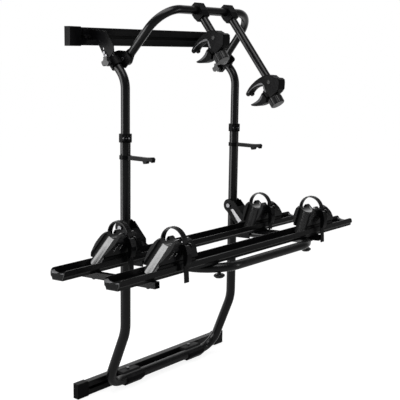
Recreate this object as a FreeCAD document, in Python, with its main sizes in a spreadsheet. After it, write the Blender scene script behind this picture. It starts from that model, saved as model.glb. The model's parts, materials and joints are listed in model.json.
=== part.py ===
import FreeCAD, Part
import Sketcher
import math
import os
import re

# Rear door bike rack for a van: two door rails, a telescoping tube frame, a folding
# platform with two wheel rails, and a hoop with two frame claws.
# The origin is the middle of the lower rail's rear face, where it lies on the door.
# +Y points into the van, -Y away from it, +Z up. Left is -X, as in the photograph.

os.makedirs("parts", exist_ok=True)
doc = FreeCAD.newDocument("door_bike_rack")
sheet = doc.addObject("Spreadsheet::Sheet", "dims")
Vec = FreeCAD.Vector

# Driving dimensions in millimetres and degrees
sizes = {
    # Fixed frame tubes
    "tube_span": 585,
    "tube_standoff": 150,
    "tube_dia": 35,
    "tube_wall": 2,
    "slide_clearance": 0.08,
    "seat_gap": 0.1,
    "pin_gap": 0.05,
    "face_gap": 0.3,
    "tube_top": 905,
    "foot_bend_z": 225,
    "foot_bend_radius": 150,
    "foot_run_y": 58,
    "foot_run_z": 2,
    "foot_corner_radius": 65,
    "foot_seam": 37,
    # Sleeve, hole and collars
    "sleeve_length": 90,
    "tube_hole_z": 840,
    "collar_dia": 43,
    "collar_height": 28,
    "collar_ear": 14,
    "bolt_dia": 6,
    # Upper tubes
    "upper_bottom": 700,
    "upper_bend_z": 1088,
    "upper_lean": 43,
    "upper_bend_radius": 85,
    "upper_reach": 120,
    # Door rails and their caps
    "door_rail_length": 800,
    "door_rail_sheet": 3,
    "door_rail_slot": 11,
    "low_rail_height": 50,
    "low_rail_depth": 25,
    "top_rail_height": 59,
    "top_rail_depth": 28,
    "top_rail_z": 1223.5,
    "top_rail_back": 23,
    "cap_grip": 46,
    "cap_wall": 2.5,
    "door_hole_dia": 8.5,
    "door_hole_span": 660,
    # Saddles on the lower rail
    "foot_clamp_length": 98,
    "foot_clamp_left": 165,
    "foot_clamp_right": 176,
    "foot_clamp_cover": 5,
    # Hook brackets
    "hook_z": 830,
    "hook_band": 13,
    "hook_reach": 130,
    "hook_width": 16,
    # Brackets under the upper rail
    "bracket_sheet": 4,
    "bracket_front": 110,
    "bracket_flange": 40,
    "bracket_screw_low": 20,
    "bracket_screw_high": 7,
    "bracket_hole_dia": 8,
    # Hoop and its clamps
    "hoop_dia": 28,
    "hoop_wall": 2,
    "hoop_eye_inset": 35,
    "hoop_eye_y": 123.6,
    "hoop_eye_z": 1152.5,
    "hoop_tilt": 40.8,
    "hoop_height": 214,
    "hoop_lean": 4.9,
    "hoop_bend_radius": 95,
    "eye_dia": 44,
    "eye_width": 10,
    "eye_bolt_dia": 8,
    "clamp_length": 30,
    "clamp_wall": 6,
    "clamp_sheet": 5,
    "clamp_bush_dia": 18,
    "clamp_boss": 24,
    "clamp_ear": 8,
    "wing_knob_dia": 34,
    "wing_hub": 7,
    "wing_left_across": 0,
    "wing_left_along": 6,
    "wing_right_across": 34,
    "wing_right_along": 4,
    # Arms and claws
    "arm_left_x": -60.5,
    "arm_right_x": 95.5,
    "arm_angle": 51,
    "arm_left_length": 114,
    "arm_right_length": 299,
    "arm_clamp_width": 35,
    "arm_clamp_depth": 44,
    "arm_clamp_wall": 10,
    "claw_width": 30,
    "claw_head_width": 36,
    "claw_notch": 13,
    "jaw_width": 21,
    "jaw_pad_width": 30,
    "jaw_pin_dia": 8,
    "jaw_pin_y": -8,
    "jaw_pin_z": -1,
    "claw_knob_dia": 50,
    "claw_knob_width": 28,
    "claw_knob_tilt": 36,
    "claw_screw_y": -21,
    "claw_screw_z": -53,
    "claw_screw_reach": 14,
    # Platform
    "fold_z": 593,
    "platform_tilt": 3.7,
    "leg_dia": 30,
    "leg_wall": 2,
    "leg_drop": 105.8,
    "leg_start": 33,
    "leg_front": 391.3,
    "leg_bend_radius": 110,
    # Struts
    "strut_sheet": 4,
    "strut_gap": 2.5,
    "strut_eye": 25,
    "strut_angle": 41.3,
    "strut_web_start": 28,
    "leg_bolt_reach": 58,
    "fold_bolt_dia": 8,
    # Wheel rails
    "wheel_rail_length": 1252,
    "wheel_rail_shift": -64.5,
    "wheel_rail_width": 60,
    "wheel_rail_height": 35,
    "wheel_rail_sheet": 3,
    "wheel_rail_first": 111.3,
    "wheel_rail_pitch": 231,
    "front_lip_drop": 6,
    "rail_corner": 14,
    # Crossbars and dish knobs
    "crossbar_side": 20,
    "crossbar_wall": 1.5,
    "crossbar_left_x": -546.5,
    "crossbar_right_x": 319,
    "crossbar_reach": 379.3,
    "knob_dia": 36,
    "knob_height": 12,
    "knob_x": 247.5,
    "knob_reach": 365.3,
    # Wheel holders
    "holder_left_x": -428,
    "holder_right_x": 323,
    "holder_height": 104,
    "holder_width": 86,
    "holder_ramp": 112,
    "holder_heel": 75,
    "holder_top_front": 34,
    "holder_top_back": 36,
    "holder_toe": 21,
    "holder_foot_groove": 13,
    "holder_foot_rise": 6,
    "tyre_radius": 30,
    "tyre_depth": 24,
    # Straps and buckles
    "strap_width": 20,
    "strap_thickness": 3,
    "strap_gap": 0.5,
    "strap_rise": 91.5,
    "tail_long": 60,
    "tail_short": 32,
    "lever_width": 22,
    "lever_pin_dia": 6,
    "lever_length": 56,
}
for row, (name, value) in enumerate(sizes.items(), 1):
    sheet.set("A%d" % row, name)
    sheet.set("B%d" % row, str(value))
    sheet.setAlias("B%d" % row, name)
doc.recompute()

keep = []
slack = 0.01  # Tolerance when an edge is looked up by its place


def bound(text):
    """The text of an expression, with each size name pointed at the sheet."""
    return re.sub(r"[a-z][a-z_0-9]*", lambda m: "dims." + m.group() if m.group() in sizes else m.group(),
            str(text))


def num(text):
    return float(sheet.evalExpression(bound(text)))


def put(thing, x="0", y="0", z="0", turn=None, axis=(1, 0, 0)):
    """Places an object by expressions; turn is a positive angle in degrees about axis."""
    angle = num(turn) if turn else 0
    thing.Placement = FreeCAD.Placement(Vec(num(x), num(y), num(z)), FreeCAD.Rotation(Vec(*axis), angle))
    for letter, text in zip("xyz", (x, y, z)):
        thing.setExpression("Placement.Base." + letter, bound(text))
    if turn:
        thing.setExpression("Placement.Rotation.Angle", bound(turn))


def new_body(name):
    body = doc.addObject("PartDesign::Body", name)
    body.Label = name
    return body


def sketch_on(body, role, name, offset=None):
    sketch = body.newObject("Sketcher::SketchObject", name)
    plane = [item for item in body.Origin.OriginFeatures if item.Role == role][0]
    sketch.AttachmentSupport = [(plane, "")]
    sketch.MapMode = "FlatFace"
    if offset is not None:
        sketch.AttachmentOffset = FreeCAD.Placement(Vec(0, 0, num(offset)), FreeCAD.Rotation())
        sketch.setExpression("AttachmentOffset.Base.z", bound(offset))
    return sketch


def lock(sketch, kind, *where, to):
    index = sketch.addConstraint(Sketcher.Constraint(kind, *where, num(to)))
    sketch.setExpression("Constraints[%d]" % index, bound(to))


def lock_point(sketch, item, end, x, y):
    lock(sketch, "DistanceX", -1, 1, item, end, to=x)
    lock(sketch, "DistanceY", -1, 1, item, end, to=y)


def circle(sketch, x, y, radius):
    item = sketch.addGeometry(Part.Circle(Vec(num(x), num(y), 0), Vec(0, 0, 1), num(radius)))
    lock_point(sketch, item, 3, x, y)
    lock(sketch, "Radius", item, to=radius)


def outline(sketch, corners):
    """A closed outline. A corner is (x, y) or (x, y, radius); with a radius the edge that
    leaves the corner is an arc, turning left where the radius is positive."""
    points = [Vec(num(c[0]), num(c[1]), 0) for c in corners]
    first = sketch.GeometryCount
    count = len(corners)
    starts = []
    for i, corner in enumerate(corners):
        a, b = points[i], points[(i + 1) % count]
        if len(corner) == 2:
            sketch.addGeometry(Part.LineSegment(a, b))
            starts.append((1, 2))
            continue
        radius = num(corner[2])
        half = (b - a) * 0.5
        side = Vec(-half.y, half.x, 0).normalize() * math.copysign(1, radius)
        centre = a + half + side * math.sqrt(max(radius * radius - half.Length ** 2, 0))
        low, high = (a, b) if radius > 0 else (b, a)
        begin = math.atan2(low.y - centre.y, low.x - centre.x)
        end = math.atan2(high.y - centre.y, high.x - centre.x)
        ring = Part.Circle(centre, Vec(0, 0, 1), abs(radius))
        sketch.addGeometry(Part.ArcOfCircle(ring, begin, end if end > begin else end + 2 * math.pi))
        starts.append((1, 2) if radius > 0 else (2, 1))
    for i, corner in enumerate(corners):
        nxt = (i + 1) % count
        sketch.addConstraint(Sketcher.Constraint("Coincident", first + i, starts[i][1], first + nxt,
                starts[nxt][0]))
        lock_point(sketch, first + i, starts[i][0], corner[0], corner[1])
        if len(corner) == 3:
            lock(sketch, "Radius", first + i, to="abs(%s)" % corner[2])


def rectangle(sketch, x_low, y_low, x_high, y_high):
    outline(sketch, [(x_low, y_low), (x_high, y_low), (x_high, y_high), (x_low, y_high)])


def feature(body, kind, sketch, **sizes):
    item = body.newObject("PartDesign::" + kind, body.Name + "_" + kind.lower())
    item.Profile = sketch
    for size, text in sizes.items():
        if isinstance(text, bool) or size == "Type":
            setattr(item, size, text)
        else:
            item.setExpression(size, bound(text))
    body.Tip = item
    return item


def pad(body, role, draw, length, offset=None, middle=True, back=False):
    """Pads what draw puts on the sketch."""
    sketch = sketch_on(body, role, body.Name + "_outline", offset)
    draw(sketch)
    return feature(body, "Pad", sketch, Length=length, Midplane=middle, Reversed=back)


def pocket(body, role, draw, length, offset=None, middle=True, back=False):
    sketch = sketch_on(body, role, body.Name + "_cut", offset)
    draw(sketch)
    return feature(body, "Pocket", sketch, Length=length, Midplane=middle, Reversed=back)


def soften(body, kind, size, wanted):
    """Rounds or bevels the edges of the body's tip for which wanted(edge) holds."""
    doc.recompute()
    base = body.Tip
    edges = ["Edge%d" % (i + 1) for i, edge in enumerate(base.Shape.Edges) if wanted(edge)]
    item = body.newObject("PartDesign::" + kind, body.Name + "_" + kind.lower())
    item.Base = (base, edges)
    item.setExpression("Radius" if kind == "Fillet" else "Size", bound(size))
    body.Tip = item


def runs(edge, axis):
    """True for a straight edge along the axis with this index."""
    if len(edge.Vertexes) != 2 or edge.Curve.TypeId != "Part::GeomLine":
        return False
    way = edge.Vertexes[1].Point - edge.Vertexes[0].Point
    return abs(abs(way[axis]) - way.Length) < 1e-6


def middle(edge):
    box = edge.BoundBox
    return box.Center


def spine(body, role, name, corners, radius, offset=None):
    """A path of straight lines through the corners, with a tangent arc at each inner one."""
    sketch = sketch_on(body, role, name, offset)
    points = [Vec(num(x), num(y), 0) for x, y in corners]
    size = num(radius)
    here = points[0]
    lines, arcs = [], []
    for i in range(1, len(points) - 1):
        before = (points[i] - points[i - 1]).normalize()
        after = (points[i + 1] - points[i]).normalize()
        turn = before.getAngle(after)
        cut = size * math.tan(turn / 2)
        start, end = points[i] - before * cut, points[i] + after * cut
        lines.append(sketch.addGeometry(Part.LineSegment(here, start)))
        bow = points[i] + (after - before).normalize() * (size / math.cos(turn / 2) - size)
        arcs.append(sketch.addGeometry(Part.Arc(start, bow, end)))
        here = end
    lines.append(sketch.addGeometry(Part.LineSegment(here, points[-1])))
    lock_point(sketch, lines[0], 1, *corners[0])
    lock_point(sketch, lines[-1], 2, *corners[-1])
    for i, arc in enumerate(arcs):
        inner = corners[i + 1]
        at_start = sketch.getPoint(arc, 1).distanceToPoint(sketch.getPoint(lines[i], 2)) < 1e-6
        sketch.addConstraint(Sketcher.Constraint("Tangent", lines[i], 2, arc, 1 if at_start else 2))
        sketch.addConstraint(Sketcher.Constraint("Tangent", arc, 2 if at_start else 1, lines[i + 1], 1))
        lock(sketch, "Radius", arc, to=radius)
        mark = sketch.addGeometry(Part.Point(points[i + 1]), True)
        lock_point(sketch, mark, 1, *inner)
        sketch.addConstraint(Sketcher.Constraint("PointOnObject", mark, 1, lines[i]))
        sketch.addConstraint(Sketcher.Constraint("PointOnObject", mark, 1, lines[i + 1]))
    doc.recompute()
    return sketch, ["Edge%d" % (i + 1) for i in range(len(sketch.Shape.Edges))]


def tube_along(body, path, ring):
    item = body.newObject("PartDesign::AdditivePipe", body.Name + "_pipe")
    item.Profile = ring
    item.Spine = path
    body.Tip = item
    doc.recompute()
    return item


def ring_on(body, role, x, y, outer, inner, offset=None):
    ring = sketch_on(body, role, body.Name + "_ring", offset)
    circle(ring, x, y, outer)
    circle(ring, x, y, inner)
    return ring


def done(item):
    keep.append(item)
    return item


def group(name, items):
    """Separate solids of one kind in one sub-part."""
    together = doc.addObject("Part::Compound", name)
    together.Label = name
    together.Links = items
    return done(together)


def rod(name, radius, height, x, y, z, turn=None, axis=(0, 1, 0)):
    """A cylinder from x, y, z along +Z, or turned about an axis."""
    item = doc.addObject("Part::Cylinder", name)
    item.setExpression("Radius", bound(radius))
    item.setExpression("Height", bound(height))
    put(item, x, y, z, turn, axis)
    return item


def fuse(name, items):
    item = doc.addObject("Part::MultiFuse", name)
    item.Shapes = items
    item.Refine = True
    item.Label = name
    return item


def cut(name, base, tool):
    item = doc.addObject("Part::Cut", name)
    item.Base = base
    item.Tool = tool
    item.Label = name
    return item


TUBE_Y = "-tube_standoff"
BORE = "(tube_dia/2 - tube_wall)"
UPPER_R = "(tube_dia/2 - tube_wall - slide_clearance)"
SIDES = (("left", -1), ("right", 1))


def side_x(sign, more="0"):
    """An X place on one side: the tube's axis, plus more away from the middle."""
    return "%d*(tube_span/2 + %s)" % (sign, more)


# Door rails

def door_rail(name, height, depth, z, back):
    """A channel rail with a slot along its front, bolted through its rear wall."""
    rail = new_body(name)
    half, wall = "(%s/2)" % height, "door_rail_sheet"
    slot = "(door_rail_slot/2)"
    front = "-" + depth
    inner = "(%s - %s)" % (half, wall)
    pad(rail, "YZ_Plane", lambda sk: outline(sk, [
        ("0", "-" + half), ("0", half), (front, half), (front, slot),
        (front + " + " + wall, slot), (front + " + " + wall, inner),
        ("-" + wall, inner), ("-" + wall, "-" + inner), (front + " + " + wall, "-" + inner),
        (front + " + " + wall, "-" + slot), (front, "-" + slot), (front, "-" + half)]),
            "door_rail_length")

    def holes(sk):
        circle(sk, "-door_hole_span/2", "0", "door_hole_dia/2")
        circle(sk, "door_hole_span/2", "0", "door_hole_dia/2")
    pocket(rail, "XZ_Plane", holes, "2*door_rail_sheet + 2")
    soften(rail, "Fillet", "door_rail_sheet*0.6", lambda e: runs(e,
            0) and abs(abs(middle(e).z) - num(half)) < slack)
    put(rail, "0", back, z)
    done(rail)


def door_rail_caps(name, height, depth, z, back):
    """A moulded cap over each end of a door rail, hollow, with a recess in its front."""
    caps = []
    for side, sign in SIDES:
        cap = new_body(name + "_" + side)
        half = "(%s/2)" % height
        outer, inner = half + " + cap_wall", half + " + seat_gap"
        end = "%d*(door_rail_length/2)" % sign
        front = "-(%s + cap_wall)" % depth
        pad(cap, "YZ_Plane", lambda sk: rectangle(sk, front, "-(%s)" % outer, "0", outer),
            "cap_grip + cap_wall", end + (" - cap_grip" if sign > 0 else " - cap_wall"), False)
        soften(cap, "Fillet", "cap_wall*2", lambda e: runs(e, 0) and middle(e).y < num(front) + slack)
        soften(cap, "Fillet", "cap_wall",
                lambda e: runs(e, 2) and abs(middle(e).x - num(end + "%+d*cap_wall" % sign)) < slack)
        pocket(cap, "YZ_Plane", lambda sk: rectangle(sk, "-(%s + seat_gap)" % depth, "-(%s)" % inner, "1",
                inner),
               "cap_grip", end + (" - cap_grip" if sign > 0 else ""), False, True)
        put(cap, "0", back, z)
        caps.append(cap)
    group(name, caps)


door_rail("bottom_rail", "low_rail_height", "low_rail_depth", "0", "0")
door_rail_caps("bottom_rail_caps", "low_rail_height", "low_rail_depth", "0", "0")
door_rail("top_rail", "top_rail_height", "top_rail_depth", "top_rail_z", "top_rail_back")
door_rail_caps("top_rail_caps", "top_rail_height", "top_rail_depth", "top_rail_z", "top_rail_back")

# Lower tubes: each goes down, leans to the door and turns along the lower rail.

LEAN_Y = "(tube_standoff - foot_run_y)"
LEAN_Z = "(foot_bend_z - foot_run_z)"
LEAN_LENGTH = "sqrt(%s^2 + %s^2)" % (LEAN_Y, LEAN_Z)
LEAN = "atan(%s/%s)" % (LEAN_Y, LEAN_Z)

for side, sign in SIDES:
    tube = new_body("lower_tube_" + side)
    path = spine(tube, "YZ_Plane", "lower_tube_%s_drop" % side, [
        (TUBE_Y, "tube_top"), (TUBE_Y, "foot_bend_z"),
        ("-foot_run_y - (foot_corner_radius + 1)*sin(%s)" % LEAN,
         "foot_run_z + (foot_corner_radius + 1)*cos(%s)" % LEAN)],
        "foot_bend_radius")
    tube_along(tube, path, ring_on(tube, "XY_Plane", "0", TUBE_Y, "tube_dia/2", BORE, "tube_top"))
    put(tube, side_x(sign), "0", "0")
    if sign < 0:
        pocket(tube, "YZ_Plane", lambda sk: circle(sk, TUBE_Y, "tube_hole_z", "bolt_dia/2"),
                "tube_dia/2 + 1", None, False, False)
    pocket(tube, "YZ_Plane", lambda sk: circle(sk, TUBE_Y, "fold_z", "fold_bolt_dia/2 + seat_gap"),
            "tube_dia + 2")

    # The lower run lies in a plane that leans with the tube.
    foot = new_body("lower_run_" + side)
    seam = "(tube_span/2 - foot_seam)" if sign < 0 else "-(tube_span/2 + foot_seam)"
    path = spine(foot, "XZ_Plane", "lower_run_%s_path" % side,
                 [("0", "foot_corner_radius + 1"), ("0", "0"), (seam, "0")], "foot_corner_radius")
    tube_along(foot, path, ring_on(foot, "XY_Plane", "0", "0", "tube_dia/2", BORE,
            "foot_corner_radius + 1"))
    put(foot, side_x(sign), "-foot_run_y", "foot_run_z", LEAN, (1, 0, 0))
    whole = fuse("lower_tube_whole_" + side, [tube, foot])
    tube.Label = "lower_drop_" + side
    whole.Label = "lower_tube_" + side
    done(whole)

# Sleeve inside the joint of the two lower runs

sleeve = new_body("tube_sleeve")
pad(sleeve, "YZ_Plane", lambda sk: (circle(sk, "-foot_run_y", "foot_run_z", BORE + " - seat_gap"),
                                    circle(sk, "-foot_run_y", "foot_run_z", BORE + " - tube_wall")),
    "sleeve_length", "-foot_seam")
done(sleeve)

# Saddles that hold the lower run to the lower rail

for side, sign in SIDES:
    clamp = new_body("bottom_clamp_" + side)
    top, deep = "(low_rail_height/2 - 1)", "(foot_run_y + tube_dia/2 + foot_clamp_cover)"
    near = "-(low_rail_depth)"
    pad(clamp, "YZ_Plane", lambda sk: outline(sk, [
        (near, "-" + top), (near, top), ("-(foot_run_y - 6)", top),
        ("-%s" % deep, "foot_run_z + 7", "tube_dia"), ("-%s" % deep, "foot_run_z - 8"),
        ("-(foot_run_y + 4)", "-" + top)]), "foot_clamp_length", "%d*foot_clamp_%s" % (sign, side))
    soften(clamp, "Chamfer", "7", lambda e: abs(abs(middle(e).x - num("%d*foot_clamp_%s" % (sign, side)))
           - num("foot_clamp_length/2")) < slack and middle(e).y < -num("low_rail_depth") - 3)
    pocket(clamp, "YZ_Plane", lambda sk: circle(sk, "-foot_run_y", "foot_run_z", "tube_dia/2 + seat_gap"),
           "foot_clamp_length + 2", "%d*foot_clamp_%s" % (sign, side))
    pocket(clamp, "XY_Plane", lambda sk: circle(sk, "%d*foot_clamp_%s" % (sign, side),
            "-(low_rail_depth + 7.6)",
           "bolt_dia/2 + seat_gap"), "low_rail_height + 2")
    done(clamp)

# Collars at the top of the lower tubes, split and bolted towards the outside

EAR = "(collar_dia/2 + collar_ear)"
for side, sign in SIDES:
    collar = new_body("tube_collar_" + side)
    ring = ring_on(collar, "XY_Plane", "0", "0", "collar_dia/2", "tube_dia/2 + seat_gap")
    feature(collar, "Pad", ring, Length="collar_height - 3")
    lip = ring_on(collar, "XY_Plane", "0", "0", "collar_dia/2", UPPER_R + " + pin_gap",
            "collar_height - 3")
    feature(collar, "Pad", lip, Length="3")
    pad(collar, "XZ_Plane", lambda sk: rectangle(sk, "-(%s)" % EAR, "3", "-(tube_dia/2 + 1.5)",
            "collar_height - 3"), "14")
    soften(collar, "Fillet", "5", lambda e: runs(e, 1) and middle(e).x < -num(EAR) + slack)
    pocket(collar, "XZ_Plane", lambda sk: rectangle(sk, "-(%s + 1)" % EAR, "-1", "-(tube_dia/4)",
            "collar_height + 1"), "3")
    pocket(collar, "XZ_Plane", lambda sk: circle(sk, "-(%s - collar_ear/2)" % EAR, "collar_height/2",
            "bolt_dia/2 + seat_gap"), "20")
    put(collar, side_x(sign), TUBE_Y, "tube_top + 2 - collar_height + 3 - 2", "50", (0, 0, 1))
    done(collar)

# Hook brackets: a band round the tube and a flat hook that reaches outwards

for side, sign in SIDES:
    hook = new_body("hook_bracket_" + side)
    ring = ring_on(hook, "XY_Plane", "0", "0", "tube_dia/2 + 3", "tube_dia/2 + seat_gap")
    feature(hook, "Pad", ring, Length="hook_band", Midplane=True)
    root = "-(tube_dia/2 + 1)"
    pad(hook, "YZ_Plane", lambda sk: outline(sk, [
        (root, "-hook_band/2"), (root, "hook_band/2"), ("-(hook_reach - 34)", "hook_band/2 + 1"),
        ("-(hook_reach - 6)", "hook_band/2 + 4"), ("-hook_reach", "hook_band/2 - 1"),
        ("-(hook_reach - 3)", "-hook_band/2"), ("-(hook_reach - 12)", "-hook_band/2 + 4"),
        ("-(hook_reach - 24)", "-hook_band/2 + 5"), ("-(hook_reach - 30)", "-hook_band/2 - 6"),
        ("-(hook_reach - 40)", "-hook_band/2 - 7"), ("-(hook_reach - 44)", "-hook_band/2 + 1")]),
            "hook_width")
    pocket(hook, "YZ_Plane", lambda sk: rectangle(sk, "-(hook_reach - 50)", "-hook_band", root + " - 6",
            "hook_band"), "hook_width - 8")
    put(hook, side_x(sign), TUBE_Y, "hook_z")
    done(hook)

# Bolts of the fixed frame: clamps, collars and hook bands

bolts = []
for side, sign in SIDES:
    x, y = "%d*foot_clamp_%s" % (sign, side), "-(low_rail_depth + 7.6)"
    top = "(low_rail_height/2 - 1)"
    bolts.append(fuse("clamp_bolt_" + side, [
        rod("clamp_shank_" + side, "bolt_dia/2", "2*%s + 2" % top, x, y, "-%s - 2" % top),
        rod("clamp_head_" + side, "bolt_dia", "4", x, y, top)]))
    reach = "(%s - collar_ear/2)" % EAR
    x = "%s - %s*cos(50)" % (side_x(sign), reach)
    y = "%s - %s*sin(50)" % (TUBE_Y, reach)
    z = "tube_top + 3 - collar_height/2"
    pin = fuse("collar_bolt_" + side, [
        rod("collar_shank_" + side, "bolt_dia/2", "24", "0", "0", "-12"),
        rod("collar_head_" + side, "bolt_dia*0.8", "4", "0", "0", "7"),
        rod("collar_nut_" + side, "bolt_dia*0.8", "4", "0", "0", "-11")])
    pin.Placement = FreeCAD.Placement(Vec(num(x), num(y), num(z)), FreeCAD.Rotation(Vec(0, 0, 1), 50)
                                      * FreeCAD.Rotation(Vec(1, 0, 0), 90))
    for letter, text in zip("xyz", (x, y, z)):
        pin.setExpression("Placement.Base." + letter, bound(text))
    bolts.append(pin)
group("frame_bolts", bolts)

# Bolts that the platform folds on

bolts = []
STRUT_OUT = "(tube_dia/2 + strut_gap + strut_sheet)"
for side, sign in SIDES:
    x = side_x(sign)
    half = "(%s + face_gap)" % STRUT_OUT
    bolts.append(fuse("fold_bolt_" + side, [
        rod("fold_shank_" + side, "fold_bolt_dia/2", "2*%s" % half, x + " - " + half, TUBE_Y, "fold_z",
            "90"),
        rod("fold_head_" + side, "fold_bolt_dia", "5", x + " - %s - 5" % half, TUBE_Y, "fold_z", "90"),
        rod("fold_nut_" + side, "fold_bolt_dia*0.85", "7", x + " + " + half, TUBE_Y, "fold_z", "90")]))
group("fold_pivot_bolts", bolts)

# Upper tubes slide in the lower ones and lean back to the upper rail.

END_Y = "(upper_reach*sin(upper_lean) - tube_standoff)"
END_Z = "(upper_bend_z + upper_reach*cos(upper_lean))"
for side, sign in SIDES:
    tube = new_body("upper_tube_" + side)
    path = spine(tube, "YZ_Plane", "upper_tube_%s_path" % side,
                 [(TUBE_Y, "upper_bottom"), (TUBE_Y, "upper_bend_z"), (END_Y, END_Z)],
                 "upper_bend_radius")
    tube_along(tube, path, ring_on(tube, "XY_Plane", "0", TUBE_Y, UPPER_R, UPPER_R + " - tube_wall",
            "upper_bottom"))
    put(tube, side_x(sign), "0", "0")
    done(tube)

# Perforated brackets carry the upper rail on the upper tubes.

def along_upper(distance, rise="0"):
    """A point beside the upper tube's end, as y and z."""
    return ("%s - (%s)*sin(upper_lean) + (%s)*cos(upper_lean)" % (END_Y, distance, rise),
            "%s - (%s)*cos(upper_lean) - (%s)*sin(upper_lean)" % (END_Z, distance, rise))


RAIL_FRONT = "(top_rail_back - top_rail_depth)"
PLATE_IN = "(%s + seat_gap)" % UPPER_R
PLATE_OUT = "(%s + bracket_sheet)" % PLATE_IN
bolts = []
for side, sign in SIDES:
    bracket = new_body("rail_bracket_" + side)
    start = PLATE_IN if sign > 0 else "-" + PLATE_OUT
    high, low = "(top_rail_z + top_rail_height/2 - 6)", "(top_rail_z - top_rail_height/2 + 19)"
    pad(bracket, "YZ_Plane", lambda sk: outline(sk, [
        (RAIL_FRONT, high), ("-bracket_front + 32", high + " - 6"), ("-bracket_front - 3", high + " - 50"),
        ("-bracket_front - 5", high + " - 71"), along_upper("33", "-14"), along_upper("33", "12"),
        ("-bracket_front + 49", high + " - 75"), ("-bracket_front + 77", low), (RAIL_FRONT, low)]),
        "bracket_sheet", start, False)
    flange = PLATE_IN if sign > 0 else "-(%s + bracket_flange)" % PLATE_IN
    pad(bracket, "XZ_Plane", lambda sk: rectangle(sk, flange, low, flange + " + bracket_flange", high),
        "bracket_sheet", "-(%s)" % RAIL_FRONT, False)
    for y, z in (("-bracket_front + 60.8", low + " - 8"), ("-bracket_front + 44.2", low + " - 29")):
        pocket(bracket, "YZ_Plane", lambda sk: circle(sk, y, z, "bracket_hole_dia/2"), "100")
    spots = [along_upper("bracket_screw_low"), along_upper("bracket_screw_high")]
    for y, z in spots:
        pocket(bracket, "YZ_Plane", lambda sk: circle(sk, y, z, "bolt_dia/2 + seat_gap"), "100")
    flange_holes = ["%d*(%s + %s)" % (sign, PLATE_IN, at) for at in ("13", "31")]
    pocket(bracket, "XZ_Plane", lambda sk: [circle(sk, x, "top_rail_z", "bolt_dia/2 + seat_gap")
           for x in flange_holes], "200", "50")
    put(bracket, side_x(sign), "0", "0")
    done(bracket)
    face = side_x(sign, PLATE_OUT)
    for n, (y, z) in enumerate(spots):
        name = "%s_%d" % (side, n)
        bolts.append(fuse("bracket_screw_" + name, [
            rod("bracket_screw_head_" + name, "bolt_dia*0.9", "4", face + (" - 4" if sign < 0 else ""),
                y, z, "90"),
            rod("bracket_screw_shank_" + name, "bolt_dia/2", "bracket_sheet",
                face + (" - bracket_sheet" if sign > 0 else ""), y, z, "90")]))
    for n, x in enumerate(flange_holes):
        x = side_x(sign) + " + " + x
        name = "%s_%d" % (side, n)
        bolts.append(fuse("bracket_bolt_" + name, [
            rod("bracket_bolt_head_" + name, "bolt_dia", "4", x, RAIL_FRONT + " - bracket_sheet",
                "top_rail_z", "90", (1, 0, 0)),
            rod("bracket_bolt_shank_" + name, "bolt_dia/2", "bracket_sheet + 14", x,
                RAIL_FRONT + " + 14", "top_rail_z", "90", (1, 0, 0)),
            rod("bracket_bolt_nut_" + name, "bolt_dia*1.3", "5", x,
                RAIL_FRONT + " + door_rail_sheet + 5", "top_rail_z", "90", (1, 0, 0))]))
group("bracket_bolts", bolts)

# Hoop clamps sit on the leaning part of the upper tubes; local Z runs along the tube.

BEND_OUT = "(upper_bend_radius*tan(upper_lean/2))"
CLAMP_AT = "(%s + 35)" % BEND_OUT
CLAMP_Y = "(-tube_standoff + %s*sin(upper_lean))" % CLAMP_AT
CLAMP_Z = "(upper_bend_z + %s*cos(upper_lean))" % CLAMP_AT
EYE_DY = "(-hoop_eye_y - %s)" % CLAMP_Y
EYE_DZ = "(hoop_eye_z - %s)" % CLAMP_Z
EYE_SIDE = "(%s*cos(upper_lean) - %s*sin(upper_lean))" % (EYE_DY, EYE_DZ)
EYE_ALONG = "(%s*sin(upper_lean) + %s*cos(upper_lean))" % (EYE_DY, EYE_DZ)
EYE_OFF = "hoop_eye_inset"
CHEEK = "(%s - hoop_dia/2 - face_gap)" % EYE_OFF
FACE = "(%s - eye_width/2 - face_gap)" % EYE_OFF
FAR = "(%s + eye_width/2 + face_gap)" % EYE_OFF


def towards_middle(sign, start, length):
    """Where a rod begins that covers start to start + length from the tube to the middle."""
    if sign < 0:
        return side_x(sign, "-" + start)
    return side_x(sign, "-(%s + %s)" % (start, length))


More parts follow.
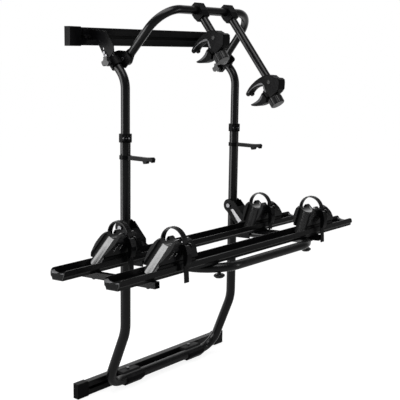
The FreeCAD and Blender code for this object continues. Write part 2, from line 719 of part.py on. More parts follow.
bolts = []
for side, sign in SIDES:
    clamp = new_body("hoop_clamp_" + side)
    band = ring_on(clamp, "XY_Plane", "0", "0", UPPER_R + " + clamp_wall", UPPER_R + " + seat_gap")
    feature(clamp, "Pad", band, Length="clamp_length", Midplane=True)
    # The cheek beside the tube that carries the hoop's eye on a bush
    cheek = CHEEK + " - clamp_sheet" if sign < 0 else "-" + CHEEK
    pad(clamp, "YZ_Plane", lambda sk: outline(sk, [
        ("5", "-14"), ("5", "30"), ("-4", "45"), ("-28", "31"), ("-48", "10"), ("-52", "-22", "9"),
        ("-43", "-31"), ("-10", "-31")]), "clamp_sheet", cheek, False)
    bush = CHEEK if sign < 0 else "-" + FACE
    pad(clamp, "YZ_Plane", lambda sk: circle(sk, EYE_SIDE, EYE_ALONG, "clamp_bush_dia/2"),
        "%s - %s" % (FACE, CHEEK), bush, False)
    pocket(clamp, "YZ_Plane", lambda sk: circle(sk, EYE_SIDE, EYE_ALONG, "eye_bolt_dia/2 + seat_gap"),
           "100")
    # The seat of the wing knob: a boss outside the left tube, an ear behind the right one
    if sign < 0:
        pad(clamp, "YZ_Plane", lambda sk: circle(sk, "wing_left_across", "wing_left_along",
            "clamp_ear + 1"), "clamp_boss - %s - 2" % UPPER_R, "-clamp_boss", False)
    else:
        pad(clamp, "YZ_Plane", lambda sk: rectangle(sk, UPPER_R + " + 1", "-clamp_length/2 + 2",
            "wing_right_across + 10", "clamp_length/2 - 2"), "2*clamp_ear")
        soften(clamp, "Fillet", "6", lambda e: runs(e, 0)
               and middle(e).y > num("wing_right_across + 10") - slack)
    pocket(clamp, "XY_Plane", lambda sk: rectangle(sk, "-1", UPPER_R + " - 2", "1",
        "wing_right_across + 12"), "clamp_length + 2")
    put(clamp, side_x(sign), CLAMP_Y, CLAMP_Z, "upper_lean", (-1, 0, 0))
    done(clamp)
    head, length = "(%s - clamp_sheet)" % CHEEK, "(%s - %s + clamp_sheet)" % (FAR, CHEEK)
    bolts.append(fuse("hoop_bolt_" + side, [
        rod("hoop_bolt_shank_" + side, "eye_bolt_dia/2", length, towards_middle(sign, head, length),
            "-hoop_eye_y", "hoop_eye_z", "90"),
        rod("hoop_bolt_head_" + side, "eye_bolt_dia*0.75", "3",
            towards_middle(sign, "(%s - 3)" % head, "3"), "-hoop_eye_y", "hoop_eye_z", "90"),
        rod("hoop_bolt_nut_" + side, "eye_bolt_dia*0.9", "5", towards_middle(sign, FAR, "5"),
            "-hoop_eye_y", "hoop_eye_z", "90")]))
group("hoop_pivot_bolts", bolts)

# Wing knobs that tighten the hoop clamps, on the left of each seat

for side, sign in SIDES:
    knob = new_body("wing_knob_" + side)
    reach = "clamp_boss" if sign < 0 else "clamp_ear"
    across, along = "wing_%s_across" % side, "wing_%s_along" % side
    lobes = "(wing_knob_dia/2)"
    pad(knob, "YZ_Plane", lambda sk: circle(sk, "0", "0", lobes), "12", "-wing_hub - 12", False)
    pad(knob, "YZ_Plane", lambda sk: circle(sk, "0", "0", "8"), "wing_hub", "-wing_hub", False)
    for n in range(3):
        angle = "%d" % (120 * n + 30)
        pocket(knob, "YZ_Plane", lambda sk: circle(
            sk, "1.15*%s*cos(%s)" % (lobes, angle), "1.15*%s*sin(%s)" % (lobes, angle),
            "%s*0.55" % lobes), "14", "-wing_hub - 6")
    put(knob, side_x(sign) + " - %s - face_gap" % reach,
        "%s + %s*sin(upper_lean) + %s*cos(upper_lean)" % (CLAMP_Y, along, across),
        "%s + %s*cos(upper_lean) - %s*sin(upper_lean)" % (CLAMP_Z, along, across))
    done(knob)

# The hoop: drawn upright in its own plane, then tilted outwards about its two eyes

HOOP_HALF = "(tube_span/2 - hoop_eye_inset)"
HOOP_TOP_HALF = "(%s - hoop_height*tan(hoop_lean))" % HOOP_HALF
hoop = new_body("hoop")
START = "(eye_dia/2 + 2)"
path = spine(hoop, "XZ_Plane", "hoop_path", [
    ("-(%s - %s*tan(hoop_lean))" % (HOOP_HALF, START), START), ("-" + HOOP_TOP_HALF, "hoop_height"),
    (HOOP_TOP_HALF, "hoop_height"), ("%s - %s*tan(hoop_lean)" % (HOOP_HALF, START), START)],
        "hoop_bend_radius")
tube_along(hoop, path, ring_on(hoop, "XY_Plane", "-(%s - %s*tan(hoop_lean))" % (HOOP_HALF, START), "0",
                               "hoop_dia/2", "hoop_dia/2 - hoop_wall", START))
for side, sign in SIDES:
    x = "%d*%s" % (sign, HOOP_HALF)
    pad(hoop, "YZ_Plane", lambda sk: outline(sk, [
        ("hoop_dia/2", "eye_dia/2 + 8"), ("-hoop_dia/2", "eye_dia/2 + 8"), ("-eye_dia/2", "4"),
            ("-eye_dia/2", "0", "eye_dia/2 + 0.01"),
        ("eye_dia/2", "0"), ("eye_dia/2", "4")]), "eye_width", x)
    pocket(hoop, "YZ_Plane", lambda sk: circle(sk, "0", "0", "eye_bolt_dia/2 + pin_gap"), "eye_width + 2",
            x)
put(hoop, "0", "-hoop_eye_y", "hoop_eye_z", "hoop_tilt", (1, 0, 0))
done(hoop)

TOP_Y = "(-hoop_eye_y - hoop_height*sin(hoop_tilt))"
TOP_Z = "(hoop_eye_z + hoop_height*cos(hoop_tilt))"

# Arms: a clamp on the hoop, a tube, and a claw with a lower jaw and its knob

def arm(side):
    x, length = "arm_%s_x" % side, "arm_%s_length" % side
    turn = "(90 - arm_angle)"
    clamp = new_body("arm_clamp_" + side)
    half, top = "(arm_clamp_depth/2)", "(hoop_dia/2 + arm_clamp_wall)"
    low = "(hoop_dia/2 + 22)"
    pad(clamp, "YZ_Plane", lambda sk: outline(sk, [
        ("-" + half, "-%s + 8" % top), ("-" + half, "%s - 10" % top), ("-%s + 10" % half, top),
            ("%s - 10" % half, top),
        (half, "%s - 10" % top), (half, "-%s + 8" % top), ("%s - 5" % half, "-" + low),
            ("-%s + 5" % half, "-" + low)]),
        "arm_clamp_width")
    soften(clamp, "Fillet", "2.5",
            lambda e: runs(e, 0) or abs(abs(middle(e).x) - num("arm_clamp_width/2")) < slack)
    pocket(clamp, "YZ_Plane", lambda sk: circle(sk, "0", "0", "hoop_dia/2 + pin_gap"),
            "arm_clamp_width + 2")
    pocket(clamp, "XY_Plane", lambda sk: circle(sk, "0", "0", "hoop_dia/2 + seat_gap"), "60",
            "-(hoop_dia/2 + 3)", False)
    put(clamp, x, TOP_Y, TOP_Z, turn, (-1, 0, 0))
    done(clamp)

    tube = new_body("arm_tube_" + side)
    ring = ring_on(tube, "XY_Plane", "0", "0", "hoop_dia/2", "hoop_dia/2 - hoop_wall",
            "-(%s - 10)" % length)
    feature(tube, "Pad", ring, Length="%s - 10 - hoop_dia/2 - 3.5" % length)
    put(tube, x, TOP_Y, TOP_Z, turn, (-1, 0, 0))
    done(tube)

    claw_y = "(%s - %s*cos(arm_angle))" % (TOP_Y, length)
    claw_z = "(%s - %s*sin(arm_angle))" % (TOP_Z, length)
    claw = new_body("claw_body_" + side)
    pad(claw, "YZ_Plane", lambda sk: outline(sk, [
        ("-4", "22"), ("10", "21.5", "-140"), ("60.4", "-7.7", "-110"), ("88.8", "-43.7"),
        ("87.2", "-49.1"), ("80.9", "-53.1"), ("74.2", "-48.5"), ("73.3", "-33.2", "79"),
        ("27.7", "-15.1"), ("7.9", "-8.9"), ("-4", "-8.9")]), "claw_width")
    pad(claw, "YZ_Plane", lambda sk: outline(sk, [
        ("2.4", "23.3"), ("-16", "22.3"), ("-28", "14.8"), ("-42", "14.3"), ("-50", "9"),
        ("-51.5", "-1"), ("-50.5", "-22.3"), ("-42", "-33.5"), ("-15.3", "-55.3"), ("-4", "-44"),
        ("12", "-28"), ("16", "-12"), ("27", "4"), ("22", "13")]), "claw_head_width")
    soften(claw, "Fillet", "2.5", lambda e: abs(abs(middle(e).x) - num("claw_head_width/2")) < slack)
    # Notch in the tip, slot for the jaw, its pin, socket of the arm tube, seat of the screw
    pocket(claw, "YZ_Plane", lambda sk: rectangle(sk, "70", "-60", "96", "-43"), "claw_notch")
    slot = "(jaw_width + 2*face_gap)"
    pocket(claw, "YZ_Plane", lambda sk: outline(sk, [
        ("-20", "9.5"), ("0", "9.5"), ("6", "3"), ("15", "-5"), ("15", "-60"), ("-12", "-60"),
        ("-6", "-46"), ("-12", "-34"), ("-20", "-14")]), slot)
    pad(claw, "YZ_Plane", lambda sk: circle(sk, "jaw_pin_y", "jaw_pin_z", "jaw_pin_dia/2"),
        "claw_head_width")
    put(claw, x, claw_y, claw_z)
    socket = rod("claw_socket_" + side, "hoop_dia/2 + seat_gap", "60", x, claw_y + " + 9*cos(arm_angle)",
                 claw_z + " + 9*sin(arm_angle)", turn, (-1, 0, 0))
    shank = rod("claw_screw_hole_" + side, "5 + pin_gap", "claw_screw_reach + 1", x,
                claw_y + " + claw_screw_y", claw_z + " + claw_screw_z", "claw_knob_tilt", (-1, 0, 0))
    whole = cut("claw_" + side, cut("claw_socketed_" + side, claw, socket), shank)
    claw.Label = "claw_form_" + side
    whole.Label = "claw_body_" + side
    done(whole)

    # The jaw: a neck in the head's slot and a wider crescent that holds the frame tube
    jaw = new_body("claw_jaw_" + side)
    pad(jaw, "YZ_Plane", lambda sk: outline(sk, [
        ("jaw_pin_y - 8", "jaw_pin_z - 5", "-9.5"), ("jaw_pin_y + 8.5", "jaw_pin_z - 4"),
        ("8.1", "-14.4"), ("18.2", "-29.9"), ("24", "-45"), ("10", "-58"), ("1", "-52"),
        ("-9", "-28")]), "jaw_width")
    pad(jaw, "YZ_Plane", lambda sk: outline(sk, [
        ("21", "-39", "95"), ("36", "-62.1", "110"), ("67.4", "-80.6"), ("62.5", "-84.2", "-90"),
        ("24.5", "-81.1", "-70"), ("4.5", "-71"), ("2", "-57")]), "jaw_pad_width")
    pocket(jaw, "YZ_Plane", lambda sk: circle(sk, "jaw_pin_y", "jaw_pin_z", "jaw_pin_dia/2 + pin_gap"),
           "jaw_width + 2")
    put(jaw, x, claw_y, claw_z)
    done(jaw)

    knob = new_body("claw_knob_" + side)
    pad(knob, "XY_Plane", lambda sk: circle(sk, "0", "0", "claw_knob_dia/2"), "claw_knob_width",
            "-claw_knob_width", False)
    soften(knob, "Fillet", "4", lambda e: not runs(e, 2))
    for n in range(8):
        pocket(knob, "XY_Plane", lambda sk: circle(sk, "(claw_knob_dia/2 + 4)*cos(%d)" % (45 * n),
               "(claw_knob_dia/2 + 4)*sin(%d)" % (45 * n), "7"), "claw_knob_width + 2",
                "-claw_knob_width - 1", False, True)
    pad(knob, "XY_Plane", lambda sk: circle(sk, "0", "0", "5"), "claw_screw_reach", "0", False)
    put(knob, x, claw_y + " + claw_screw_y", claw_z + " + claw_screw_z", "claw_knob_tilt", (-1, 0, 0))
    done(knob)


for side, sign in SIDES:
    arm(side)

# Platform. Its parts are drawn with local -Y outwards from the fold and then tilted up.

def seat(item):
    put(item, "0", TUBE_Y, "fold_z", "platform_tilt", (-1, 0, 0))


frame = new_body("platform_tube")
LEG_X = "(tube_span/2)"
path = spine(frame, "XY_Plane", "platform_path", [
    ("-" + LEG_X, "-leg_start"), ("-" + LEG_X, "-leg_front"), (LEG_X, "-leg_front"),
        (LEG_X, "-leg_start")],
    "leg_bend_radius", "-leg_drop")
tube_along(frame, path, ring_on(frame, "XZ_Plane", "-" + LEG_X, "-leg_drop", "leg_dia/2",
        "leg_dia/2 - leg_wall", "leg_start"))
for side, sign in SIDES:
    pocket(frame, "XY_Plane", lambda sk: circle(sk, "%d*knob_x" % sign, "-knob_reach", "4 + pin_gap"),
            "leg_dia/2",
           "-leg_drop", False, False)
    pocket(frame, "YZ_Plane", lambda sk: circle(sk, "-leg_bolt_reach", "-leg_drop",
            "fold_bolt_dia/2 + seat_gap"), "leg_dia + 2", "%d*%s" % (sign, LEG_X))
seat(frame)
done(frame)

# Struts: bent channels that straddle the tube and the platform's leg

RAIL_LOW = "(leg_drop - leg_dia/2)"
BACK_WALL = "(wheel_rail_first - wheel_rail_width/2)"
for side, sign in SIDES:
    strut = new_body("strut_" + side)
    web, low = "(strut_eye + strut_sheet + 0.5)", "(strut_eye - 1.6)"
    dy, dz = "sin(strut_angle)", "cos(strut_angle)"
    end_z = "(leg_drop + leg_dia/2 + 1)"
    middle_x = side_x(sign)
    pad(strut, "YZ_Plane", lambda sk: outline(sk, [
        ("-%s*%s" % (web, dz), "%s*%s" % (web, dy)), ("%s*%s" % (low, dz), "-%s*%s" % (low, dy)),
        ("-leg_start", "-(leg_start + %s*%s)/%s*%s - %s*%s" % (low, dz, dy, dz, low, dy)),
            ("-leg_start", "-" + end_z), ("-leg_start - 62", "-" + end_z),
        ("-leg_start - 62", "-%s - 2" % RAIL_LOW), ("-%s + 2" % BACK_WALL, "-%s - 2" % RAIL_LOW),
            ("-%s + 2" % BACK_WALL, "-56"),
        ("-%s + 10" % BACK_WALL, "-52"), ("-%s + 10" % BACK_WALL,
            "%s*%s - (%s - 10 - %s*%s)/%s*%s" % (web, dy, BACK_WALL, web, dz, dy, dz))]),
        "2*" + STRUT_OUT, middle_x)
    pad(strut, "YZ_Plane", lambda sk: circle(sk, "0", "0", "strut_eye"), "2*" + STRUT_OUT, middle_x)
    inner = "(%s - strut_sheet)" % web
    t_low, t_high = "strut_web_start", "200"
    beyond = "(%s + 8)" % web
    pocket(strut, "YZ_Plane", lambda sk: outline(sk, [
        ("-%s*%s - %s*%s" % (inner, dz, t_low, dy), "%s*%s - %s*%s" % (inner, dy, t_low, dz)),
        ("-%s*%s - %s*%s" % (inner, dz, t_high, dy), "%s*%s - %s*%s" % (inner, dy, t_high, dz)),
        ("60", "-200"), ("60", "60"), ("-45", "60"),
        ("-%s*%s - %s*%s" % (beyond, dz, t_low, dy), "%s*%s - %s*%s" % (beyond, dy, t_low, dz))]),
        "2*(tube_dia/2 + strut_gap)", middle_x)
    pocket(strut, "YZ_Plane", lambda sk: circle(sk, "0", "0", "fold_bolt_dia/2 + pin_gap"), "60",
            middle_x)
    pocket(strut, "YZ_Plane", lambda sk: circle(sk, "-leg_bolt_reach", "-leg_drop",
            "fold_bolt_dia/2 + seat_gap"), "60", middle_x)
    seat(strut)
    done(strut)

# Crossbars tie the wheel rails together from below.

for side, reach in (("left", "-(%s - 13)" % BACK_WALL), ("right", "-(leg_start + 64)")):
    bar = new_body("crossbar_" + side)
    half = "(crossbar_side/2)"
    mid = "-(%s + %s)" % (RAIL_LOW, half)
    x = "crossbar_%s_x" % side
    def walls(sk):
        rectangle(sk, "%s - %s" % (x, half), "%s - %s" % (mid, half), "%s + %s" % (x, half),
                "%s + %s" % (mid, half))
        inner = "(%s - crossbar_wall)" % half
        rectangle(sk, "%s - %s" % (x, inner), "%s - %s" % (mid, inner), "%s + %s" % (x, inner),
                "%s + %s" % (mid, inner))
    pad(bar, "XZ_Plane", walls, "crossbar_reach + (%s)" % reach, "-(%s)" % reach, False)
    for row in ("0", "1"):
        pocket(bar, "XY_Plane",
                lambda sk: circle(sk, x, "-(wheel_rail_first + %s*wheel_rail_pitch)" % row,
               "bolt_dia/2 + seat_gap"), "crossbar_side + 2", mid)
    seat(bar)
    done(bar)

# Wheel rails: open channels with a stepped section, a lower front lip and rounded ends

for name, row in (("inner", "0"), ("outer", "1")):
    rail = new_body("wheel_rail_" + name)
    y = "-(wheel_rail_first + %s*wheel_rail_pitch)" % row
    z = "-" + RAIL_LOW
    w, t, h = "(wheel_rail_width/2)", "wheel_rail_sheet", "wheel_rail_height"
    def place(dy, dz):
        return ("%s + %s" % (y, dy), "%s + %s" % (z, dz))
    pad(rail, "YZ_Plane", lambda sk: outline(sk, [
        place("-(%s - 7)" % w, "0"), place("%s - 7" % w, "0"), place("%s - 4.5" % w, "8"), place(w, "12"),
            place(w, h),
        place("%s - %s" % (w, t), h), place("%s - %s" % (w, t), "14"), place("%s - 7.2" % w, "10"),
            place("%s - 9" % w, t),
        place("-(%s - 9)" % w, t), place("-(%s - 7.2)" % w, "10"), place("-(%s - %s)" % (w, t), "14"),
        place("-(%s - %s)" % (w, t), h + " - front_lip_drop"), place("-%s" % w, h + " - front_lip_drop"),
            place("-%s" % w, "12"),
        place("-(%s - 4.5)" % w, "8")]), "wheel_rail_length", "wheel_rail_shift")
    soften(rail, "Fillet", "rail_corner",
            lambda e: runs(e, 1) and abs(abs(middle(e).x - num("wheel_rail_shift"))
           - num("wheel_rail_length/2")) < slack and middle(e).z > num("%s + %s - front_lip_drop - 1" % (z,
            h)))
    for x in ("crossbar_left_x", "crossbar_right_x"):
        pocket(rail, "XY_Plane", lambda sk: circle(sk, x, y, "bolt_dia/2 + seat_gap"),
                "wheel_rail_sheet*2 + 1", z)
    seat(rail)
    done(rail)

# End caps inside the four rail ends

caps = []
for name, row in (("inner", "0"), ("outer", "1")):
    for side, sign in SIDES:
        cap = new_body("rail_cap_%s_%s" % (name, side))
        y = "-(wheel_rail_first + %s*wheel_rail_pitch)" % row
        z = "-(%s - wheel_rail_sheet)" % RAIL_LOW
        w = "(wheel_rail_width/2)"
        end = "wheel_rail_shift + %d*wheel_rail_length/2" % sign
        def plug(sk):
            outline(sk, [("%s - (%s - 9.3)" % (y, w), z), ("%s + (%s - 9.3)" % (y, w), z),
                    ("%s + (%s - 7.6)" % (y, w), z + " + 7"),
                         ("%s + (%s - 3.3)" % (y, w), z + " + 11.6"),
                         ("%s + (%s - 3.3)" % (y, w), z + " + 17"),
                         ("%s - (%s - 3.3)" % (y, w), z + " + 17"),
                         ("%s - (%s - 3.3)" % (y, w), z + " + 11.6"),
                         ("%s - (%s - 7.6)" % (y, w), z + " + 7")])
        pad(cap, "YZ_Plane", plug, "14", end + (" - 14" if sign > 0 else ""), False)
        seat(cap)
        caps.append(cap)
group("rail_end_caps", caps)

# Platform fasteners: dome bolts under the crossbars and the bolts through strut and leg

bolts = []
for side in ("left", "right"):
    for n in (0, 1):
        x, y = "crossbar_%s_x" % side, "-(wheel_rail_first + %d*wheel_rail_pitch)" % n
        name = "%s_%d" % (side, n)
        low = "-(%s + crossbar_side)" % RAIL_LOW
        dome = doc.addObject("Part::Cone", "dome_" + name)
        dome.setExpression("Radius1", bound("bolt_dia*0.7"))
        dome.setExpression("Radius2", bound("bolt_dia*1.3"))
        dome.setExpression("Height", bound("5"))
        put(dome, x, y, low + " - 5")
        bolt = fuse("dome_bolt_" + name, [dome, rod("dome_shank_" + name, "bolt_dia/2",
                    "crossbar_side + wheel_rail_sheet + 2", x, y, low),
                    rod("dome_nut_" + name, "bolt_dia", "3", x, y,
                    low + " + crossbar_side + wheel_rail_sheet")])
        seat(bolt)
        bolts.append(bolt)
for side, sign in SIDES:
    x, out = side_x(sign), STRUT_OUT
    gap = "(tube_dia/2 + strut_gap)"
    bolt = fuse("leg_bolt_" + side, [
        rod("leg_shank_" + side, "fold_bolt_dia/2", "2*%s" % out, x + " - " + out, "-leg_bolt_reach",
            "-leg_drop", "90"),
        rod("leg_head_" + side, "fold_bolt_dia*0.9", "4", x + " - %s - 4" % out, "-leg_bolt_reach",
            "-leg_drop", "90"),
        rod("leg_nut_" + side, "fold_bolt_dia*0.8", "4", x + " + " + out, "-leg_bolt_reach", "-leg_drop",
            "90"),
        rod("leg_spacer_%s_low" % side, "fold_bolt_dia*0.8", gap + " - leg_dia/2", x + " - " + gap,
            "-leg_bolt_reach", "-leg_drop", "90"),
        rod("leg_spacer_%s_high" % side, "fold_bolt_dia*0.8", gap + " - leg_dia/2", x + " + leg_dia/2",
            "-leg_bolt_reach", "-leg_drop", "90")])
    seat(bolt)
    bolts.append(bolt)
group("platform_bolts", bolts)

# Dish knobs under the bends of the platform tube

for side, sign in SIDES:
    knob = new_body("dish_knob_" + side)
    sketch = sketch_on(knob, "XZ_Plane", knob.Name + "_profile")
    r, h = "(knob_dia/2)", "knob_height"
    outline(sketch, [("0", "-leg_dia/2 - 6 - %s" % h), (r + " - 6", "-leg_dia/2 - 6 - %s" % h),
            (r, "-leg_dia/2 - 1 - %s" % h),
                     (r, "-leg_dia/2 - 9"), (r + " - 4", "-leg_dia/2 - 6"), ("7", "-leg_dia/2 - 6"),
                     ("6", "-leg_dia/2 - face_gap"), ("4", "-leg_dia/2 - face_gap"),
                     ("4", "-leg_dia/2 + leg_wall + 4"), ("0", "-leg_dia/2 + leg_wall + 4")])
    turned = knob.newObject("PartDesign::Revolution", knob.Name + "_turn")
    turned.Profile = sketch
    turned.ReferenceAxis = (sketch, ["V_Axis"])
    knob.Tip = turned
    put(knob, "%d*knob_x" % sign,
            TUBE_Y + " - knob_reach*cos(platform_tilt) - leg_drop*sin(platform_tilt)",
        "fold_z + knob_reach*sin(platform_tilt) - leg_drop*cos(platform_tilt)", "platform_tilt",
            (-1, 0, 0))
    done(knob)

# Wheel holders: wedges that stand in the rails, with a round groove for the tyre, each with
# a ladder strap over the groove and a lever buckle on its front

FLOOR = "(%s - wheel_rail_sheet)" % RAIL_LOW
LIP = "(%s - wheel_rail_height)" % RAIL_LOW
TOP = "(holder_height - %s)" % FLOOR


def wheel_holder(number, side, row, tail):
    """side -1 has its ramp towards -X."""
    x = "holder_left_x" if side < 0 else "holder_right_x"
    y = "-(wheel_rail_first + %d*wheel_rail_pitch)" % row
    w = "(holder_width/2)"
    base = "-%s + face_gap" % FLOOR
    k = "%d*" % side

    def seated(item):
        """Holder parts are drawn about the middle of their strap, then moved to their rail."""
        put(item, x, "%s + (%s)*cos(platform_tilt)" % (TUBE_Y, y), "fold_z - (%s)*sin(platform_tilt)" % y,
            "platform_tilt", (-1, 0, 0))

    holder = new_body("holder_form_%d" % number)
    pad(holder, "YZ_Plane", lambda sk: outline(sk, [
        ("-18.5", base), ("-holder_foot_groove", base), ("-holder_foot_groove",
            base + " + holder_foot_rise"),
        ("holder_foot_groove", base + " + holder_foot_rise"), ("holder_foot_groove", base),
            ("18.5", base), ("22.5", "-%s + 10" % FLOOR), ("25.5", "-%s + 14" % FLOOR),
            ("25.5", "-%s + 3" % LIP), ("31", "-%s + 8" % LIP),
        (w, "-%s + 40" % LIP, "60"), (w + " - 2", TOP + " - 8"), (w + " - 9", TOP),
            ("-(%s - 9)" % w, TOP),
        ("-(%s - 2)" % w, TOP + " - 8", "60"), ("-%s" % w, "-%s + 40" % LIP), ("-31", "-%s + 8" % LIP),
            ("-25.5", "-%s + 3" % LIP),
        ("-25.5", "-%s + 14" % FLOOR), ("-22.5", "-%s + 10" % FLOOR)]), "holder_ramp + holder_heel",
            "%s(holder_ramp - holder_heel)/2" % k)
    low, high = base + " - 1", TOP + " + 1"
    toe = "-%s + 3" % LIP
    pocket(holder, "XZ_Plane", lambda sk: outline(sk, [
        ("%s(holder_ramp + 1)" % k, low), ("%s(holder_ramp - 6)" % k, low), ("%sholder_ramp" % k, toe),
        ("%sholder_top_front" % k, TOP + " - 3"), ("%s(holder_top_front - 6)" % k, TOP),
            ("%s(holder_top_front - 6)" % k, high),
        ("%s(holder_ramp + 1)" % k, high)]), "holder_width + 10")
    pocket(holder, "XZ_Plane", lambda sk: outline(sk, [
        ("-%s(holder_heel + 1)" % k, low), ("-%s(holder_heel - 2)" % k, low), ("-%sholder_heel" % k, toe),
        ("-%sholder_top_back" % k, TOP + " - 6"), ("-%s(holder_top_back - 6)" % k, TOP),
            ("-%s(holder_top_back - 6)" % k, high),
        ("-%s(holder_heel + 1)" % k, high)]), "holder_width + 10")
    # The toe narrows to a rounded tip, seen from above.
    for turn in (-1, 1):
        pocket(holder, "XY_Plane", lambda sk: outline(sk, [
            ("%sholder_ramp + %s2" % (k, k), "%d*holder_toe" % turn),
            ("%s(holder_ramp - 4)" % k, "%d*holder_toe" % turn, "%d*60" % (side * turn)),
            ("%s(holder_top_front + 26)" % k, "%d*(%s + 3)" % (turn, w)),
            ("%sholder_ramp + %s2" % (k, k), "%d*(%s + 3)" % (turn, w))]), "400")
    # Seat of the strap across the cheeks
    pocket(holder, "XY_Plane", lambda sk: rectangle(sk, "-(strap_width/2 + 1.5)", "-holder_width",
            "strap_width/2 + 1.5", "holder_width"),
           "60", TOP + " - 10", False, True)
    # Ears of the lever buckle on the front cheek
    ear_y, ear_z = "-(%s + 9)" % w, "(%s - 22)" % TOP
    for turn in (1, -1):
        pad(holder, "YZ_Plane", lambda sk: outline(sk, [
            ("-(%s - 3)" % w, ear_z + " + 10"), ("-(%s - 3)" % w, ear_z + " - 14"),
                ("-(%s + 2)" % w, ear_z + " - 14"),
            (ear_y + " - 7", ear_z + " - 4", "-9"), (ear_y + " - 3", ear_z + " + 7")]), "3",
                "%d*(lever_width/2 + face_gap + 1.5)" % turn)
    pocket(holder, "YZ_Plane", lambda sk: circle(sk, ear_y, ear_z, "lever_pin_dia/2 + pin_gap"),
            "lever_width + 20")
    seated(holder)

    ramp = "atan((%s - 3 - (%s))/(holder_ramp - holder_top_front))" % (TOP, toe)
    heel = "atan((%s - 6 - (%s))/(holder_heel - holder_top_back))" % (TOP, toe)
    depth = "(tyre_radius - tyre_depth)"
    tools = [rod("groove_top_%d" % number, "tyre_radius", "140", "-70", "0", "%s + %s" % (TOP, depth),
            "90"),
             rod("groove_ramp_%d" % number, "tyre_radius", "300",
                 "%s(holder_top_front + %s*sin(%s))" % (k, depth, ramp), "0",
                 "%s - 3 + %s*cos(%s)" % (TOP, depth, ramp), None),
             rod("groove_heel_%d" % number, "tyre_radius", "300",
                 "-%s(holder_top_back + %s*sin(%s))" % (k, depth, heel), "0",
                 "%s - 6 + %s*cos(%s)" % (TOP, depth, heel), None)]
    for tool, angle, way in ((tools[1], ramp, side), (tools[2], heel, -side)):
        # Each groove follows its slope: the cylinder starts high and runs down and outwards.
        slope = num(angle)
        tool.Placement = FreeCAD.Placement(tool.Placement.Base,
                FreeCAD.Rotation(Vec(0, way, 0), 90 + slope))
        tool.setExpression("Placement.Rotation.Angle", bound("90deg + " + angle))
    cutter = fuse("grooves_%d" % number, tools)
    seated(cutter)
    whole = cut("wheel_holder_%d" % number, holder, cutter)
    done(whole)

    strap = new_body("strap_%d" % number)
    thin, rise = "strap_thickness", "(strap_rise - %s)" % FLOOR
    inn = "(%s + strap_gap)" % w
    out = "(%s + %s)" % (inn, thin)
    foot, end = "(%s - 32)" % TOP, "-%s + %s" % (LIP, tail)
    pad(strap, "YZ_Plane", lambda sk: outline(sk, [
        (out, foot), (out, rise, out + " + 0.01"), ("-" + out, rise), ("-" + out, end), ("-" + inn, end),
        ("-" + inn, rise, "-(%s + 0.01)" % inn), (inn, rise), (inn, foot)]), "strap_width")
    seated(strap)
    done(strap)

    lever = new_body("buckle_lever_%d" % number)
    back = "-(%s + strap_thickness + strap_gap + face_gap)" % w
    pad(lever, "YZ_Plane", lambda sk: outline(sk, [
        (ear_y + " + 4.6", ear_z, "4.61"), (ear_y + " - 4.6", ear_z), ("-(%s + 19)" % w, ear_z + " - 22",
            "70"),
        ("-(%s + 11)" % w, ear_z + " - lever_length"), ("-(%s + 6)" % w, ear_z + " - lever_length - 2"),
            (back, ear_z + " - lever_length + 6"),
        (back, ear_z + " - 4")]), "lever_width")
    soften(lever, "Fillet", "2",
            lambda e: abs(abs(middle(e).x) - num("lever_width/2")) < slack and e.Length > 30)
    pad(lever, "YZ_Plane", lambda sk: circle(sk, ear_y, ear_z, "lever_pin_dia/2"),
            "lever_width + 2*face_gap + 6")
    seated(lever)
    done(lever)


wheel_holder(1, -1, 0, "-tail_long")
wheel_holder(2, -1, 1, "-tail_long")
wheel_holder(3, 1, 0, "-tail_short")
wheel_holder(4, 1, 1, "-tail_long")

# Every object has to be sound before anything is written.
doc.recompute()
bad = [item.Label for item in doc.Objects if "Invalid" in item.State or "Error" in item.State]
for item in keep:
    shape = item.Shape
    if shape.isNull() or not shape.isValid() or not shape.Solids:
        bad.append(item.Label + " shape")
if bad:
    raise SystemExit("not sound: " + ", ".join(bad))
for item in keep:
    item.Shape.exportStep("parts/%s.step" % item.Label)
print(len(keep), "sub-parts")
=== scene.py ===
import json
import math
import bmesh
import bpy
from mathutils import Matrix, Vector


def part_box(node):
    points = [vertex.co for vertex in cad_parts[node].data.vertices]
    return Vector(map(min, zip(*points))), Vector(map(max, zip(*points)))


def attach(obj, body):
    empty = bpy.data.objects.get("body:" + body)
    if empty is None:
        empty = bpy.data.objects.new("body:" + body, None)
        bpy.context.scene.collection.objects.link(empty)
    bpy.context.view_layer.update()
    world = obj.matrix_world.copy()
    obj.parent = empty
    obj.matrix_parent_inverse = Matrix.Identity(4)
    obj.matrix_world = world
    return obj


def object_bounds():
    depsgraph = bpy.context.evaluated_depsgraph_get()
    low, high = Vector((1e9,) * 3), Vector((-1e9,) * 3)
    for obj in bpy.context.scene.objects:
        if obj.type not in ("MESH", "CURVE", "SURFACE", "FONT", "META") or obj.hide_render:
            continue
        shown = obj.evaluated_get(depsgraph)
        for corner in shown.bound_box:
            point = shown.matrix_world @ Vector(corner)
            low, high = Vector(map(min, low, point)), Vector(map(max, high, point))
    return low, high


# Rear door bike rack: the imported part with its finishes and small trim, on a white studio floor.
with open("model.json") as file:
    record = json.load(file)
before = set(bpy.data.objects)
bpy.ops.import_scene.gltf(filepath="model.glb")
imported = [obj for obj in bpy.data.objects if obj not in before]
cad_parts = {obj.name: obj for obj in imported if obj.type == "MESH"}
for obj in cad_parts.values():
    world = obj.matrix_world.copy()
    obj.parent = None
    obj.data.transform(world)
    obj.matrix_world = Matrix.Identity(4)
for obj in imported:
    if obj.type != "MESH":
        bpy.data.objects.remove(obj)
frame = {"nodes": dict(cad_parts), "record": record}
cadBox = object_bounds()
nodes = frame["nodes"]
scene = bpy.context.scene
print("frame loaded,", len(nodes), "nodes")


# Helpers that build shader nodes

